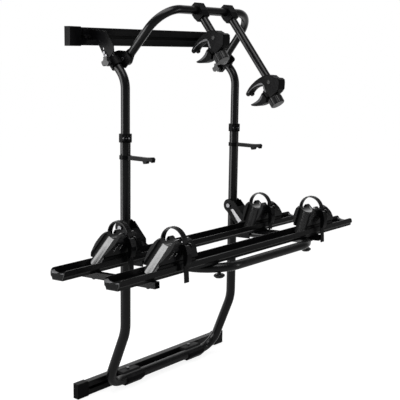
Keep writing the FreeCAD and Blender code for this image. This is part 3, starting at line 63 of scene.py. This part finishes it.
def newGroup(name, outputs, **scales):
    # a group with a Vector input, one number input for each scale and the outputs named
    tree = bpy.data.node_groups.new(name, "ShaderNodeTree")
    tree.interface.new_socket("Vector", in_out="INPUT", socket_type="NodeSocketVector")
    for label, value in scales.items():
        made = tree.interface.new_socket(label, in_out="INPUT", socket_type="NodeSocketFloat")
        made.default_value = value
    for label in outputs:
        tree.interface.new_socket(label, in_out="OUTPUT", socket_type="NodeSocketFloat")
    return tree, tree.nodes.new("NodeGroupInput").outputs, tree.nodes.new("NodeGroupOutput").inputs


def addNode(tree, kind, **settings):
    node = tree.nodes.new("ShaderNode" + kind)
    for key, value in settings.items():
        setattr(node, key, value)
    return node


def feed(tree, socket, value):  # links a socket, or sets a plain value
    if isinstance(value, bpy.types.NodeSocket):
        tree.links.new(value, socket)
    else:
        socket.default_value = value


def mathOf(tree, operation, first, second, clamp):
    node = addNode(tree, "Math", operation=operation, use_clamp=clamp)
    feed(tree, node.inputs[0], first)
    feed(tree, node.inputs[1], second)
    return node.outputs[0]


def times(tree, first, second, clamp=False):
    return mathOf(tree, "MULTIPLY", first, second, clamp)


def plus(tree, first, second, clamp=False):
    return mathOf(tree, "ADD", first, second, clamp)


def vectorOf(tree, operation, first, second=(0, 0, 0)):
    node = addNode(tree, "VectorMath", operation=operation)
    feed(tree, node.inputs[0], first)
    feed(tree, node.inputs[1], second)
    return node.outputs["Value" if operation == "DOT_PRODUCT" else "Vector"]


def rangeOf(tree, value, low, high, newLow=0.0, newHigh=1.0):
    node = addNode(tree, "MapRange")
    for socket, given in zip(node.inputs, (value, low, high, newLow, newHigh)):
        feed(tree, socket, given)
    return node.outputs[0]


def noiseOf(tree, vector, scale, detail=3.0, rough=0.5):
    node = addNode(tree, "TexNoise")
    feed(tree, node.inputs["Vector"], vector)
    feed(tree, node.inputs["Scale"], scale)
    node.inputs["Detail"].default_value = detail
    node.inputs["Roughness"].default_value = rough
    return node.outputs["Fac"]


def facingUp(tree, low, high):  # rises from 0 to 1 as a face's normal turns up from low to high
    normal = addNode(tree, "SeparateXYZ")
    feed(tree, normal.inputs[0], addNode(tree, "NewGeometry").outputs["Normal"])
    return rangeOf(tree, normal.outputs["Z"], low, high)


mixSockets = dict(factor=0, first=6, second=7, result=2)  # the colour sockets of a Mix node


def mixOf(tree, factor, first, second):
    node = addNode(tree, "Mix", data_type="RGBA")
    feed(tree, node.inputs[mixSockets["factor"]], factor)
    feed(tree, node.inputs[mixSockets["first"]], first)
    feed(tree, node.inputs[mixSockets["second"]], second)
    return node.outputs[mixSockets["result"]]


# Shader groups, each built once. Scales are in cells per metre, and pairs are the two ends of a range.
grain = dict(scale=900.0, cloud=18.0, fineShare=0.45, fineDetail=2.0, cloudDetail=4.0, cloudRough=0.55)


def makeGrain():  # fine pebbled skin of moulded plastic and powder coat
    scales = dict(Scale=grain["scale"], Cloud=grain["cloud"])
    tree, start, end = newGroup("mouldedGrain", ("Height", "Shade"), **scales)
    cells = addNode(tree, "TexVoronoi", feature="SMOOTH_F1")
    feed(tree, cells.inputs["Vector"], start["Vector"])
    feed(tree, cells.inputs["Scale"], start["Scale"])
    fineScale = times(tree, start["Scale"], grain["fineShare"])
    fine = noiseOf(tree, start["Vector"], fineScale, grain["fineDetail"])
    shade = noiseOf(tree, start["Vector"], start["Cloud"], grain["cloudDetail"], grain["cloudRough"])
    feed(tree, end["Height"], plus(tree, cells.outputs["Distance"], fine))
    feed(tree, end["Shade"], shade)
    return tree


drawn = dict(scale=700.0, stretch=(0.012, 1.0, 1.0), rough=0.6, shadeShare=0.12)


def makeDrawn():  # lines that run the way a rail was extruded
    tree, start, end = newGroup("drawnLines", ("Height", "Shade"), Scale=drawn["scale"])
    stretched = vectorOf(tree, "MULTIPLY", start["Vector"], drawn["stretch"])
    feed(tree, end["Height"], noiseOf(tree, stretched, start["Scale"], rough=drawn["rough"]))
    feed(tree, end["Shade"], noiseOf(tree, stretched, times(tree, start["Scale"], drawn["shadeShare"])))
    return tree


rubbed = dict(width=0.0015, patches=60.0, samples=6, corner=(0.99, 0.8), detail=5.0, rough=0.65,
              worn=(0.45, 0.62))


def makeRub():  # corners and edges where handling has thinned the coat
    tree, start, end = newGroup("rubbedEdges", ("Mask",), Width=rubbed["width"], Patches=rubbed["patches"])
    bevel = addNode(tree, "Bevel", samples=rubbed["samples"])
    feed(tree, bevel.inputs["Radius"], start["Width"])
    flat = addNode(tree, "NewGeometry").outputs["Normal"]
    edge = rangeOf(tree, vectorOf(tree, "DOT_PRODUCT", bevel.outputs["Normal"], flat), *rubbed["corner"])
    patches = noiseOf(tree, start["Vector"], start["Patches"], rubbed["detail"], rubbed["rough"])
    feed(tree, end["Mask"], times(tree, edge, rangeOf(tree, patches, *rubbed["worn"]), True))
    return tree


dusty = dict(scale=35.0, slope=(0.35, 1.0), detail=6.0, rough=0.7, spots=(0.42, 0.75))


def makeDust():  # thin dust that settles on what faces up
    tree, start, end = newGroup("settledDust", ("Mask",), Scale=dusty["scale"])
    spots = noiseOf(tree, start["Vector"], start["Scale"], dusty["detail"], dusty["rough"])
    up = facingUp(tree, *dusty["slope"])
    feed(tree, end["Mask"], times(tree, up, rangeOf(tree, spots, *dusty["spots"]), True))
    return tree


scuffed = dict(scale=90.0, bend=7.0, distortion=14.0, detail=3.0, thin=(0.965, 1.0),
               patches=24.0, patchDetail=2.0, where=(0.55, 0.7))


def makeScuffs():  # hair scratches in changing directions
    tree, start, end = newGroup("hairScuffs", ("Mask",), Scale=scuffed["scale"])
    bent = addNode(tree, "TexNoise")
    feed(tree, bent.inputs["Vector"], start["Vector"])
    bent.inputs["Scale"].default_value = scuffed["bend"]
    wave = addNode(tree, "TexWave", wave_type="BANDS", bands_direction="DIAGONAL")
    feed(tree, wave.inputs["Vector"], vectorOf(tree, "ADD", start["Vector"], bent.outputs["Color"]))
    feed(tree, wave.inputs["Scale"], start["Scale"])
    wave.inputs["Distortion"].default_value = scuffed["distortion"]
    wave.inputs["Detail"].default_value = scuffed["detail"]
    thin = rangeOf(tree, wave.outputs["Fac"], *scuffed["thin"])
    patches = noiseOf(tree, start["Vector"], scuffed["patches"], scuffed["patchDetail"])
    feed(tree, end["Mask"], times(tree, thin, rangeOf(tree, patches, *scuffed["where"]), True))
    return tree


raised = dict(scale=22.0, slope=(0.25, 0.6), detail=4.0, rough=0.6, haze=(0.3, 0.7), coated=(1.0, 0.75))


def makeRaised():  # faces that look up, polished by the mould
    tree, start, end = newGroup("facesUp", ("Mask",), Scale=raised["scale"])
    clouds = noiseOf(tree, start["Vector"], start["Scale"], raised["detail"], raised["rough"])
    haze = rangeOf(tree, clouds, *raised["haze"], *raised["coated"])
    feed(tree, end["Mask"], times(tree, facingUp(tree, *raised["slope"]), haze, True))
    return tree


groups = dict(raised=makeRaised(), grain=makeGrain(), drawn=makeDrawn(), rub=makeRub(), dust=makeDust(),
              scuffs=makeScuffs())
print("shader groups built")

# Finishes. Colours are linear, depth is the bump's height in metres, and coat is the clear coat's index of
# refraction and roughness.
common = dict(metal=0.0, lines=False)
finishes = {
    "black_anodised_aluminium": dict(
        colour=(0.0032, 0.0032, 0.0036), worn=(0.03, 0.03, 0.032), rough=0.3, spread=0.08,
        shine=0.2, lines=True, scale=620.0, depth=0.00002, rub=0.2, dust=0.008),
    "black_powder_coated_tube": dict(
        colour=(0.003, 0.003, 0.0034), worn=(0.02, 0.02, 0.022), rough=0.25, spread=0.06,
        shine=0.38, scale=850.0, depth=0.00003, rub=0.12, dust=0.006),
    "black_steel_sheet": dict(
        colour=(0.003, 0.003, 0.0034), worn=(0.025, 0.025, 0.027), rough=0.31, spread=0.08,
        shine=0.07, scale=800.0, depth=0.00004, rub=0.3, dust=0.008),
    "aluminium": dict(
        colour=(0.52, 0.52, 0.54), worn=(0.7, 0.7, 0.72), rough=0.34, spread=0.12, metal=1.0,
        shine=0.5, lines=True, scale=700.0, depth=0.00003, rub=0.3, dust=0.02),
    "black_moulded_plastic": dict(
        colour=(0.003, 0.003, 0.0034), worn=(0.012, 0.012, 0.013), rough=0.4, spread=0.1,
        shine=0.07, scale=1100.0, depth=0.00006, rub=0.25, dust=0.01),
    "black_knob_plastic": dict(
        colour=(0.005, 0.005, 0.0055), worn=(0.02, 0.02, 0.021), rough=0.38, spread=0.1,
        shine=0.5, scale=1000.0, depth=0.00006, rub=0.3, dust=0.01),
    "grey_jaw_plastic": dict(
        colour=(0.003, 0.003, 0.0034), worn=(0.03, 0.03, 0.031), rough=0.4, spread=0.1,
        shine=0.06, scale=1000.0, depth=0.00006, rub=0.5, dust=0.012),
    "zinc_fasteners": dict(
        colour=(0.12, 0.12, 0.125), worn=(0.35, 0.35, 0.36), rough=0.28, spread=0.12, metal=1.0,
        shine=0.5, scale=900.0, depth=0.00004, rub=0.4, dust=0.02),
    "gloss_holder_plastic": dict(
        colour=(0.003, 0.003, 0.0033), worn=(0.012, 0.012, 0.013), rough=0.22, spread=0.06,
        shine=0.14, scale=1300.0, depth=0.00002, rub=0.2, dust=0.006, coat=(2.4, 0.14)),
    "strap_plastic": dict(
        colour=(0.004, 0.004, 0.0045), worn=(0.02, 0.02, 0.022), rough=0.34, spread=0.1,
        shine=0.2, scale=1200.0, depth=0.00004, rub=0.3, dust=0.008),
    # pale grey that paints highlights on the claws' jaw faces and side bands and inside the rail ends
    "painted_highlight_grey": dict(
        colour=(0.14, 0.14, 0.145), worn=(0.24, 0.24, 0.245), rough=0.55, spread=0.1,
        shine=0.2, scale=1400.0, depth=0.00005, rub=0.3, dust=0.01),
    # near black that paints the shade on the upper jaw beam's inner face
    "painted_shade_black": dict(
        colour=(0.003, 0.003, 0.0032), worn=(0.012, 0.012, 0.013), rough=0.6, spread=0.08,
        shine=0.05, scale=1400.0, depth=0.00005, rub=0.2, dust=0.004),
    "pale_plate": dict(
        colour=(0.5, 0.5, 0.51), worn=(0.62, 0.62, 0.63), rough=0.4, spread=0.08,
        shine=0.3, scale=1500.0, depth=0.00001, rub=0.2, dust=0.02),
}

# How strongly shade, scuffs, dust and rubbed edges change every finish
ageing = dict(shade=(0.3, 0.75), lighter=1.5, scuffs=0.35, dustGain=12, dustColour=(0.06, 0.058, 0.055, 1),
              roughShade=(0.25, 0.8), dustRough=0.12, rubRough=0.08, bump=0.5)


def placed(tree, name, vector, **scales):
    node = addNode(tree, "Group", node_tree=groups[name])
    feed(tree, node.inputs["Vector"], vector)
    for label, value in scales.items():
        feed(tree, node.inputs[label], value)
    return node


def makeFinish(name, f):
    material = bpy.data.materials.new(name)
    material.use_nodes = True
    tree = material.node_tree
    shader = tree.nodes["Principled BSDF"]
    place = addNode(tree, "TexCoord").outputs["Object"]
    skin = placed(tree, "drawn" if f["lines"] else "grain", place, Scale=f["scale"])
    rub = placed(tree, "rub", place).outputs["Mask"]
    dust = placed(tree, "dust", place).outputs["Mask"]
    scuffs = placed(tree, "scuffs", place).outputs["Mask"]
    worn = (*f["worn"], 1)
    lighter = tuple(c * ageing["lighter"] for c in f["colour"]) + (1,)
    colour = mixOf(tree, rangeOf(tree, skin.outputs["Shade"], *ageing["shade"]), (*f["colour"], 1), lighter)
    colour = mixOf(tree, times(tree, scuffs, ageing["scuffs"]), colour, worn)
    colour = mixOf(tree, times(tree, rub, f["rub"]), colour, worn)
    colour = mixOf(tree, times(tree, dust, f["dust"] * ageing["dustGain"]), colour, ageing["dustColour"])
    feed(tree, shader.inputs["Base Color"], colour)
    roughEnds = (f["rough"] - f["spread"], f["rough"] + f["spread"])
    rough = rangeOf(tree, skin.outputs["Shade"], *ageing["roughShade"], *roughEnds)
    rough = plus(tree, rough, times(tree, dust, ageing["dustRough"]))
    rough = plus(tree, rough, times(tree, rub, ageing["rubRough"]), True)
    feed(tree, shader.inputs["Roughness"], rough)
    shader.inputs["Metallic"].default_value = f["metal"]
    shader.inputs["Specular IOR Level"].default_value = f["shine"]
    if "coat" in f:
        feed(tree, shader.inputs["Coat Weight"], placed(tree, "raised", place).outputs["Mask"])
        shader.inputs["Coat IOR"].default_value = f["coat"][0]
        shader.inputs["Coat Roughness"].default_value = f["coat"][1]
    bump = addNode(tree, "Bump")
    bump.inputs["Strength"].default_value = ageing["bump"]
    bump.inputs["Distance"].default_value = f["depth"]
    feed(tree, bump.inputs["Height"], skin.outputs["Height"])
    feed(tree, shader.inputs["Normal"], bump.outputs["Normal"])
    return material


materials = {name: makeFinish(name, {**common, **own}) for name, own in finishes.items()}
slotOf = {part["node"]: part["material_slot"] for part in frame["record"]["subparts"]}
for name, node in nodes.items():
    if not node.material_slots:
        node.data.materials.append(None)
    for slot in node.material_slots:
        slot.link = "OBJECT"
        slot.material = materials[slotOf[name]]
print("finishes on", len(nodes), "nodes")

# Small trim, each piece on the body that carries it. Its sizes are in millimetres.
mm = 0.001
jointAt = {j["name"]: Vector(j["pos_m"]) for j in frame["record"]["behaviour"]["joints"] if "pos_m" in j}


def finishPiece(name, bm, finish, body, bevel=0.3):
    bmesh.ops.recalc_face_normals(bm, faces=bm.faces)
    mesh = bpy.data.meshes.new(name)
    bm.to_mesh(mesh)
    bm.free()
    piece = bpy.data.objects.new(name, mesh)
    scene.collection.objects.link(piece)
    mesh.materials.append(materials[finish])
    rounding = piece.modifiers.new("edges", "BEVEL")
    rounding.width = bevel * mm
    rounding.segments = 2
    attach(piece, body)


def arcPoints(a, b, radius, count):  # from a to b, turning left where the radius is positive
    a, b = Vector(a), Vector(b)
    half = (b - a) * 0.5
    side = Vector((-half.y, half.x)).normalized() * math.copysign(1, radius)
    centre = a + half + side * math.sqrt(radius * radius - half.length_squared)
    start = math.atan2(a.y - centre.y, a.x - centre.x)
    sweep = math.copysign(2 * math.asin(half.length / abs(radius)), radius)
    turns = [start + sweep * i / (count - 1) for i in range(count)]
    return [centre + abs(radius) * Vector((math.cos(t), math.sin(t))) for t in turns]


def bowPoints(a, middle, b, count):  # a bow that starts at a, passes middle half way and ends at b
    a, middle, b = Vector(a), Vector(middle), Vector(b)
    pull = middle * 2 - (a + b) / 2
    steps = [i / (count - 1) for i in range(count)]
    return [a * (1 - t) ** 2 + pull * (2 * t * (1 - t)) + b * t ** 2 for t in steps]


def joinRings(bm, rings):  # a closed skin over rings that have as many corners as each other
    for a, b in zip(rings, rings[1:]):
        for i in range(len(a)):
            k = (i + 1) % len(a)
            bm.faces.new((a[i], a[k], b[k], b[i]))
    bm.faces.new(rings[0])
    bm.faces.new(rings[-1])


bar = dict(topLength=0.96, topWidth=0.7)  # shares of the foot's length and width


def addBar(bm, centre, long, wide, rise):
    # a low bar: long, wide and rise are vectors from its middle to its end, its side and its top
    corners = ((-1, -1), (1, -1), (1, 1), (-1, 1))
    foot = [bm.verts.new(centre + long * a + wide * b) for a, b in corners]
    top = [bm.verts.new(centre + rise + long * a * bar["topLength"] + wide * b * bar["topWidth"])
           for a, b in corners]
    joinRings(bm, [foot, top])


# Painted light inside the jaws of each claw: a near-black sheet that paints the shade on the upper beam's
# inner face, a pale grey strip that paints the highlight on the lower jaw's inner face, and pale grey flared
# bands that paint the highlights along their sides; also the pin's button heads.
# Places are (y, z) from the claw's own origin, rises are from the claw's middle plane.
pinFromOrigin = (-8, -1)
paintedStrip = dict(thick=1.3, crown=0.5, cells=8)
upperShadeSheet = dict(ends=((72.6, -33.4), (29, -15.4)), radius=79, points=14, half=13.4)
lowerHighlightStrip = dict(tip=(23, -42), bend=(36, -62.1), root=(64, -79), tipRadius=95, rootRadius=110,
                tipPoints=8, rootPoints=10, half=14.2)
# Pale grey bands that paint the highlights along the bevels of the beam, jaw and throat
highlightBands = {  # rise lists the foot, the outer line and the inner line
    "beam": dict(body="arm_", points=16, rise=(14, 15.3, 18.4),
                 inner=((13, -10.2), (51.5, -20.2), (75, -40)), outer=((10, -3.5), (46, -12), (83, -42))),
    "jaw": dict(body="jaw_", points=12, rise=(14, 15.3, 17),
                inner=((23.4, -45), (38, -64.4), (62, -78.4)), outer=((18, -48), (31, -68.5), (58, -79.8))),
    "throat": dict(body="arm_", points=10, rise=(17, 18.2, 19),
                   inner=((15.2, -13), (11.4, -27.6), (3, -36)), outer=((10, -12), (6.5, -24), (1, -34))),
}
pinButton = dict(  # (radius, rise) from its foot to its middle
    profile=((7, 17.5), (7, 18.8), (6, 19.4), (4.4, 19.4), (3.6, 18.7), (1.2, 18.7)), corners=24)


def clawPoint(origin, x, place):  # x from the claw's middle plane, place is its (y, z)
    return origin.x + x * mm, origin.y + place.x * mm, origin.z + place.y * mm


def addPaintedStrip(bm, line, origin, half):  # a strip that follows a line, crowned across its width; the upper one is a near-black sheet of painted shade, the lower one a pale grey strip of painted highlight
    rows = []
    for i, point in enumerate(line):
        before, after = line[max(i - 1, 0)], line[min(i + 1, len(line) - 1)]
        way = (after - before).normalized()
        out = Vector((-way.y, way.x))
        rows.append([])
        for c in range(paintedStrip["cells"] + 1):
            across = 2 * c / paintedStrip["cells"] - 1
            lift = out * (paintedStrip["thick"] * (1 - paintedStrip["crown"] * across ** 4))
            x = half * across
            rows[-1].append([bm.verts.new(clawPoint(origin, x, v)) for v in (point, point + lift)])
    for a, b in zip(rows, rows[1:]):
        for c in range(paintedStrip["cells"]):
            for k in (0, 1):
                bm.faces.new((a[c][k], b[c][k], b[c + 1][k], a[c + 1][k]))
        for c in (0, paintedStrip["cells"]):
            bm.faces.new((a[c][0], b[c][0], b[c][1], a[c][1]))
    for row in (rows[0], rows[-1]):
        for c in range(paintedStrip["cells"]):
            bm.faces.new((row[c][0], row[c + 1][0], row[c + 1][1], row[c][1]))


def addHighlightBand(bm, origin, side, highlightBand):  # a pale grey band of painted highlight on a claw's side face, low at its outer line and high at its inner
    foot, low, high = highlightBand["rise"]
    inner = bowPoints(*highlightBand["inner"], highlightBand["points"])
    outer = bowPoints(*highlightBand["outer"], highlightBand["points"])
    rings = []
    for a, b in zip(inner, outer):
        corners = ((a, foot), (a, high), (b, low), (b, foot))
        rings.append([bm.verts.new(clawPoint(origin, side * x, v)) for v, x in corners])
    joinRings(bm, rings)


def addButton(bm, centre, side):  # a round button head on a side face, centred on the pin
    turns = [2 * math.pi * i / pinButton["corners"] for i in range(pinButton["corners"])]
    joinRings(bm, [[bm.verts.new(clawPoint(centre, side * rise, radius * Vector((math.cos(t), math.sin(t)))))
                    for t in turns] for radius, rise in pinButton["profile"]])


def makeClawTrim(side):
    pin = jointAt["jaw_pivot_" + side]
    origin = Vector((pin.x, pin.y - pinFromOrigin[0] * mm, pin.z - pinFromOrigin[1] * mm))
    bm = bmesh.new()
    # the upper sheet paints the shade on the beam's inner face
    addPaintedStrip(bm, arcPoints(*upperShadeSheet["ends"], upperShadeSheet["radius"], upperShadeSheet["points"]), origin, upperShadeSheet["half"])
    finishPiece("upperJawPaintedShade_" + side, bm, "painted_shade_black", "arm_" + side, bevel=0.2)
    # the lower strip paints the highlight on the jaw's inner face
    bm = bmesh.new()
    line = arcPoints(lowerHighlightStrip["tip"], lowerHighlightStrip["bend"], lowerHighlightStrip["tipRadius"], lowerHighlightStrip["tipPoints"])
    line += arcPoints(lowerHighlightStrip["bend"], lowerHighlightStrip["root"], lowerHighlightStrip["rootRadius"], lowerHighlightStrip["rootPoints"])[1:]
    addPaintedStrip(bm, line, origin, lowerHighlightStrip["half"])
    finishPiece("lowerJawPaintedHighlight_" + side, bm, "painted_highlight_grey", "jaw_" + side, bevel=0.2)
    for name, highlightBand in highlightBands.items():
        bm = bmesh.new()
        for way in (-1, 1):
            addHighlightBand(bm, origin, way, highlightBand)
        finishPiece(name + "HighlightBand_" + side, bm, "painted_highlight_grey", highlightBand["body"] + side)
    bm = bmesh.new()
    for way in (-1, 1):
        addButton(bm, pin, way)
    finishPiece("pinButton_" + side, bm, "black_knob_plastic", "arm_" + side, bevel=0.2)


for side in ("left", "right"):
    makeClawTrim(side)

# Places on the platform, out from the fold and up from it, as the source draws them
platform = dict(tilt=math.radians(3.7), fold=jointAt["platform_fold"])


def onPlatform(x, out, up):
    c, s = math.cos(platform["tilt"]), math.sin(platform["tilt"])
    fold = platform["fold"]
    return Vector((x * mm, fold.y + (up * s - out * c) * mm, fold.z + (out * s + up * c) * mm))


def alongPlatform(x, out, up):
    return onPlatform(x, out, up) - onPlatform(0, 0, 0)


def stepsFrom(start, end, step):  # start and the equal steps after it that stay short of the end
    return [start + step * i for i in range(math.ceil((end - start) / step))]


# Ladder ridges over each strap's arch and down its tail. Arch angles are in degrees, from outwards up.
rows = {"inner": 111.3, "outer": 342.3}  # how far out from the fold each wheel rail lies
strap = dict(outer=46.5, centreUp=3.7, half=7.6, ridgeHalf=0.9, ridgeRise=0.9, archStart=14.0, archEnd=168,
             archStep=9.5, tailTop=-68, tailStep=-5.0, tailEnds={1: -110, 2: -110, 3: -82, 4: -110})


def makeStrapRidges(n, x, row):
    half, rise = strap["ridgeHalf"], strap["ridgeRise"]
    across = alongPlatform(strap["half"], 0, 0)
    bm = bmesh.new()
    for turn in stepsFrom(strap["archStart"], strap["archEnd"], strap["archStep"]):
        out, up = math.cos(math.radians(turn)), math.sin(math.radians(turn))
        centre = onPlatform(x, row + strap["outer"] * out, strap["centreUp"] + strap["outer"] * up)
        addBar(bm, centre, across, alongPlatform(0, -up * half, out * half),
               alongPlatform(0, out * rise, up * rise))
    for up in stepsFrom(strap["tailTop"], strap["tailEnds"][n], strap["tailStep"]):
        addBar(bm, onPlatform(x, row + strap["outer"], up), across, alongPlatform(0, 0, half),
               alongPlatform(0, rise, 0))
    finishPiece("strapRidges_%d" % n, bm, "strap_plastic", "holder_%d" % n)


# Slanted ribs on the outer cheek of each holder; starts are (across, up)
ribs = dict(face=43.0, sink=0.4, starts=((-40, -24.5), (-53, -19.5), (-66, -28.5)), length=17,
            halfWidth=0.8, rise=1.6, slope=math.radians(40))


def makeHolderRibs(n, x, row):
    way = -1 if n < 3 else 1  # the ribs of the two left holders run the other way
    long, wide = ribs["length"] / 2, ribs["halfWidth"]
    c, s = math.cos(ribs["slope"]), math.sin(ribs["slope"])
    bm = bmesh.new()
    for across, up in ribs["starts"]:
        centre = onPlatform(x - across * way, row + ribs["face"] - ribs["sink"], up)
        addBar(bm, centre, alongPlatform(-way * long * c, 0, long * s),
               alongPlatform(way * wide * s, 0, wide * c), alongPlatform(0, ribs["rise"], 0))
    finishPiece("holderRibs_%d" % n, bm, "gloss_holder_plastic", "holder_%d" % n)


for n in (1, 2, 3, 4):
    low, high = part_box("strap_%d" % n)
    x = (low[0] + high[0]) / 2 / mm
    row = rows["outer" if n % 2 == 0 else "inner"]
    makeStrapRidges(n, x, row)
    makeHolderRibs(n, x, row)

# Pale grey corner pieces that round the inside of the four rail ends and paint the highlight along their
# inner edge; places are (out, up) from the row's middle
endHighlight = dict(inset=1.2, depth=13.6, foot=-71, points=9, back=((-26.9, -62), (-21, -67.6), (-7, -70.7)),
             front=((26.9, -66.5), (21.8, -69.4), (12, -70.7)))


def makeRailEndHighlight(name, row, side, end, way):
    bm = bmesh.new()
    for wall in ("back", "front"):
        line = bowPoints(*endHighlight[wall], endHighlight["points"])
        line.append(Vector((endHighlight[wall][0][0], endHighlight["foot"])))
        joinRings(bm, [[bm.verts.new(onPlatform(end + way * x, row + v.x, v.y)) for v in line]
                       for x in (endHighlight["inset"], endHighlight["depth"])])
    finishPiece("railEndHighlight_%s_%s" % (name, side), bm, "painted_highlight_grey", "platform")


for name, row in rows.items():
    low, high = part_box("wheel_rail_" + name)
    makeRailEndHighlight(name, row, "left", low[0] / mm, 1)
    makeRailEndHighlight(name, row, "right", high[0] / mm, -1)

# Blank pale plate on the near cheek of the right strut; corners are (out, up)
plate = dict(corners=((9.8, -15.8), (20.3, -11.7), (60.5, -55.7), (44.7, -64.3)), thick=0.6)
low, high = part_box("strut_right")
face = low[0] / mm
bm = bmesh.new()
joinRings(bm, [[bm.verts.new(onPlatform(x, out, up)) for out, up in plate["corners"]]
               for x in (face - plate["thick"], face)])
finishPiece("strutPlate", bm, "pale_plate", "platform", bevel=0.2)
print("trim made")

# Floor, light and camera. Camera rays see white everywhere. Gloss and glass rays see white behind the rack
# and darkRoom on the camera's side, and fade from one to the other where fade says.
view = dict(place=(-2.2694, -2.1422, 1.1887), azimuth=-49.89, elevation=10.13, roll=0.85, lens=76.2,
            sensor=36.0, reach=50)
studio = dict(floorSize=120.0, floorDrop=0.0005, floorColour=(0.3, 0.3, 0.3, 1), floorRough=0.9,
              floorGlow=0.88, skyLight=0.4, darkRoom=0.12, fade=(-0.85, -0.45))
azimuth, elevation, roll = (math.radians(view[k]) for k in ("azimuth", "elevation", "roll"))
front = (math.sin(azimuth), -math.cos(azimuth), 0.0)  # level, from the rack towards the camera
white = (1, 1, 1, 1)


def raysOf(tree):  # camera rays, and the rays that gloss or glass sends on
    path = addNode(tree, "LightPath").outputs
    return path["Is Camera Ray"], plus(tree, path["Is Glossy Ray"], path["Is Transmission Ray"], True)


def seenBy(tree, cameraRay, mirrored, place):  # how white the studio is to a ray that ends at place
    way = vectorOf(tree, "NORMALIZE", place)
    forward = vectorOf(tree, "DOT_PRODUCT", way, front)
    around = rangeOf(tree, forward, *studio["fade"], 1.0, studio["darkRoom"])
    return plus(tree, cameraRay, times(tree, mirrored, around), True)


def makeFloor():
    height = cadBox[0][2] - studio["floorDrop"]
    bpy.ops.mesh.primitive_plane_add(size=studio["floorSize"], location=(0, 0, height))
    floor = bpy.context.object
    floor.name = "studioFloor"
    finish = bpy.data.materials.new("floorPaper")
    finish.use_nodes = True
    tree = finish.node_tree
    paper = tree.nodes["Principled BSDF"].inputs
    paper["Base Color"].default_value = studio["floorColour"]
    paper["Roughness"].default_value = studio["floorRough"]
    paper["Specular IOR Level"].default_value = 0.0
    paper["Emission Color"].default_value = white
    seen = seenBy(tree, *raysOf(tree), addNode(tree, "NewGeometry").outputs["Position"])
    feed(tree, paper["Emission Strength"], times(tree, seen, studio["floorGlow"]))
    floor.data.materials.append(finish)


def makeWorld():
    world = bpy.data.worlds.new("studioWhite")
    scene.world = world
    world.use_nodes = True
    tree = world.node_tree
    sky = tree.nodes["Background"].inputs
    sky["Color"].default_value = white
    cameraRay, mirrored = raysOf(tree)
    seen = seenBy(tree, cameraRay, mirrored, addNode(tree, "TexCoord").outputs["Generated"])
    direct = plus(tree, cameraRay, mirrored, True)
    diffuse = rangeOf(tree, direct, 0.0, 1.0, studio["skyLight"], 0.0)
    feed(tree, sky["Strength"], plus(tree, seen, diffuse))


# Area lamps: the aimed ones look at the rack's middle, topSoft shines straight down
rackMiddle = Vector((0, -0.25, 0.65))
lamps = {
    "keyLeft": dict(place=(-2.0, 1.15, 0.95), size=(1.5, 1.9), power=40, aimed=True),
    "fillRight": dict(place=(1.6, -3.0, 1.1), size=(0.4, 1.8), power=6, aimed=True),
    "topSoft": dict(place=(-0.6, -0.45, 2.9), size=(1.3, 3.2), power=38, aimed=False),
}


def makeLamp(name, lamp):
    data = bpy.data.lights.new(name, "AREA")
    data.shape = "RECTANGLE"
    data.size, data.size_y = lamp["size"]
    data.energy = lamp["power"]
    made = bpy.data.objects.new(name, data)
    scene.collection.objects.link(made)
    made.location = lamp["place"]
    if lamp["aimed"]:
        made.rotation_euler = (rackMiddle - made.location).to_track_quat("-Z", "Y").to_euler()


def makeCamera():
    level = math.cos(elevation)
    back = Vector((math.sin(azimuth) * level, -math.cos(azimuth) * level, math.sin(elevation)))
    right = back.cross(Vector((0, 0, -1))).normalized()
    up = right.cross(-back)
    rolledRight = right * math.cos(roll) + up * math.sin(roll)
    rolledUp = up * math.cos(roll) - right * math.sin(roll)
    data = bpy.data.cameras.new("photoCamera")
    data.lens = view["lens"]
    data.sensor_width = view["sensor"]
    data.clip_end = view["reach"]
    camera = bpy.data.objects.new("photoCamera", data)
    scene.collection.objects.link(camera)
    turn = Matrix((rolledRight, rolledUp, back)).transposed().to_4x4()
    camera.matrix_world = Matrix.Translation(view["place"]) @ turn
    scene.camera = camera


makeFloor()
makeWorld()
for name, lamp in lamps.items():
    makeLamp(name, lamp)
makeCamera()
scene.view_settings.view_transform = "Standard"
print("studio and camera placed")
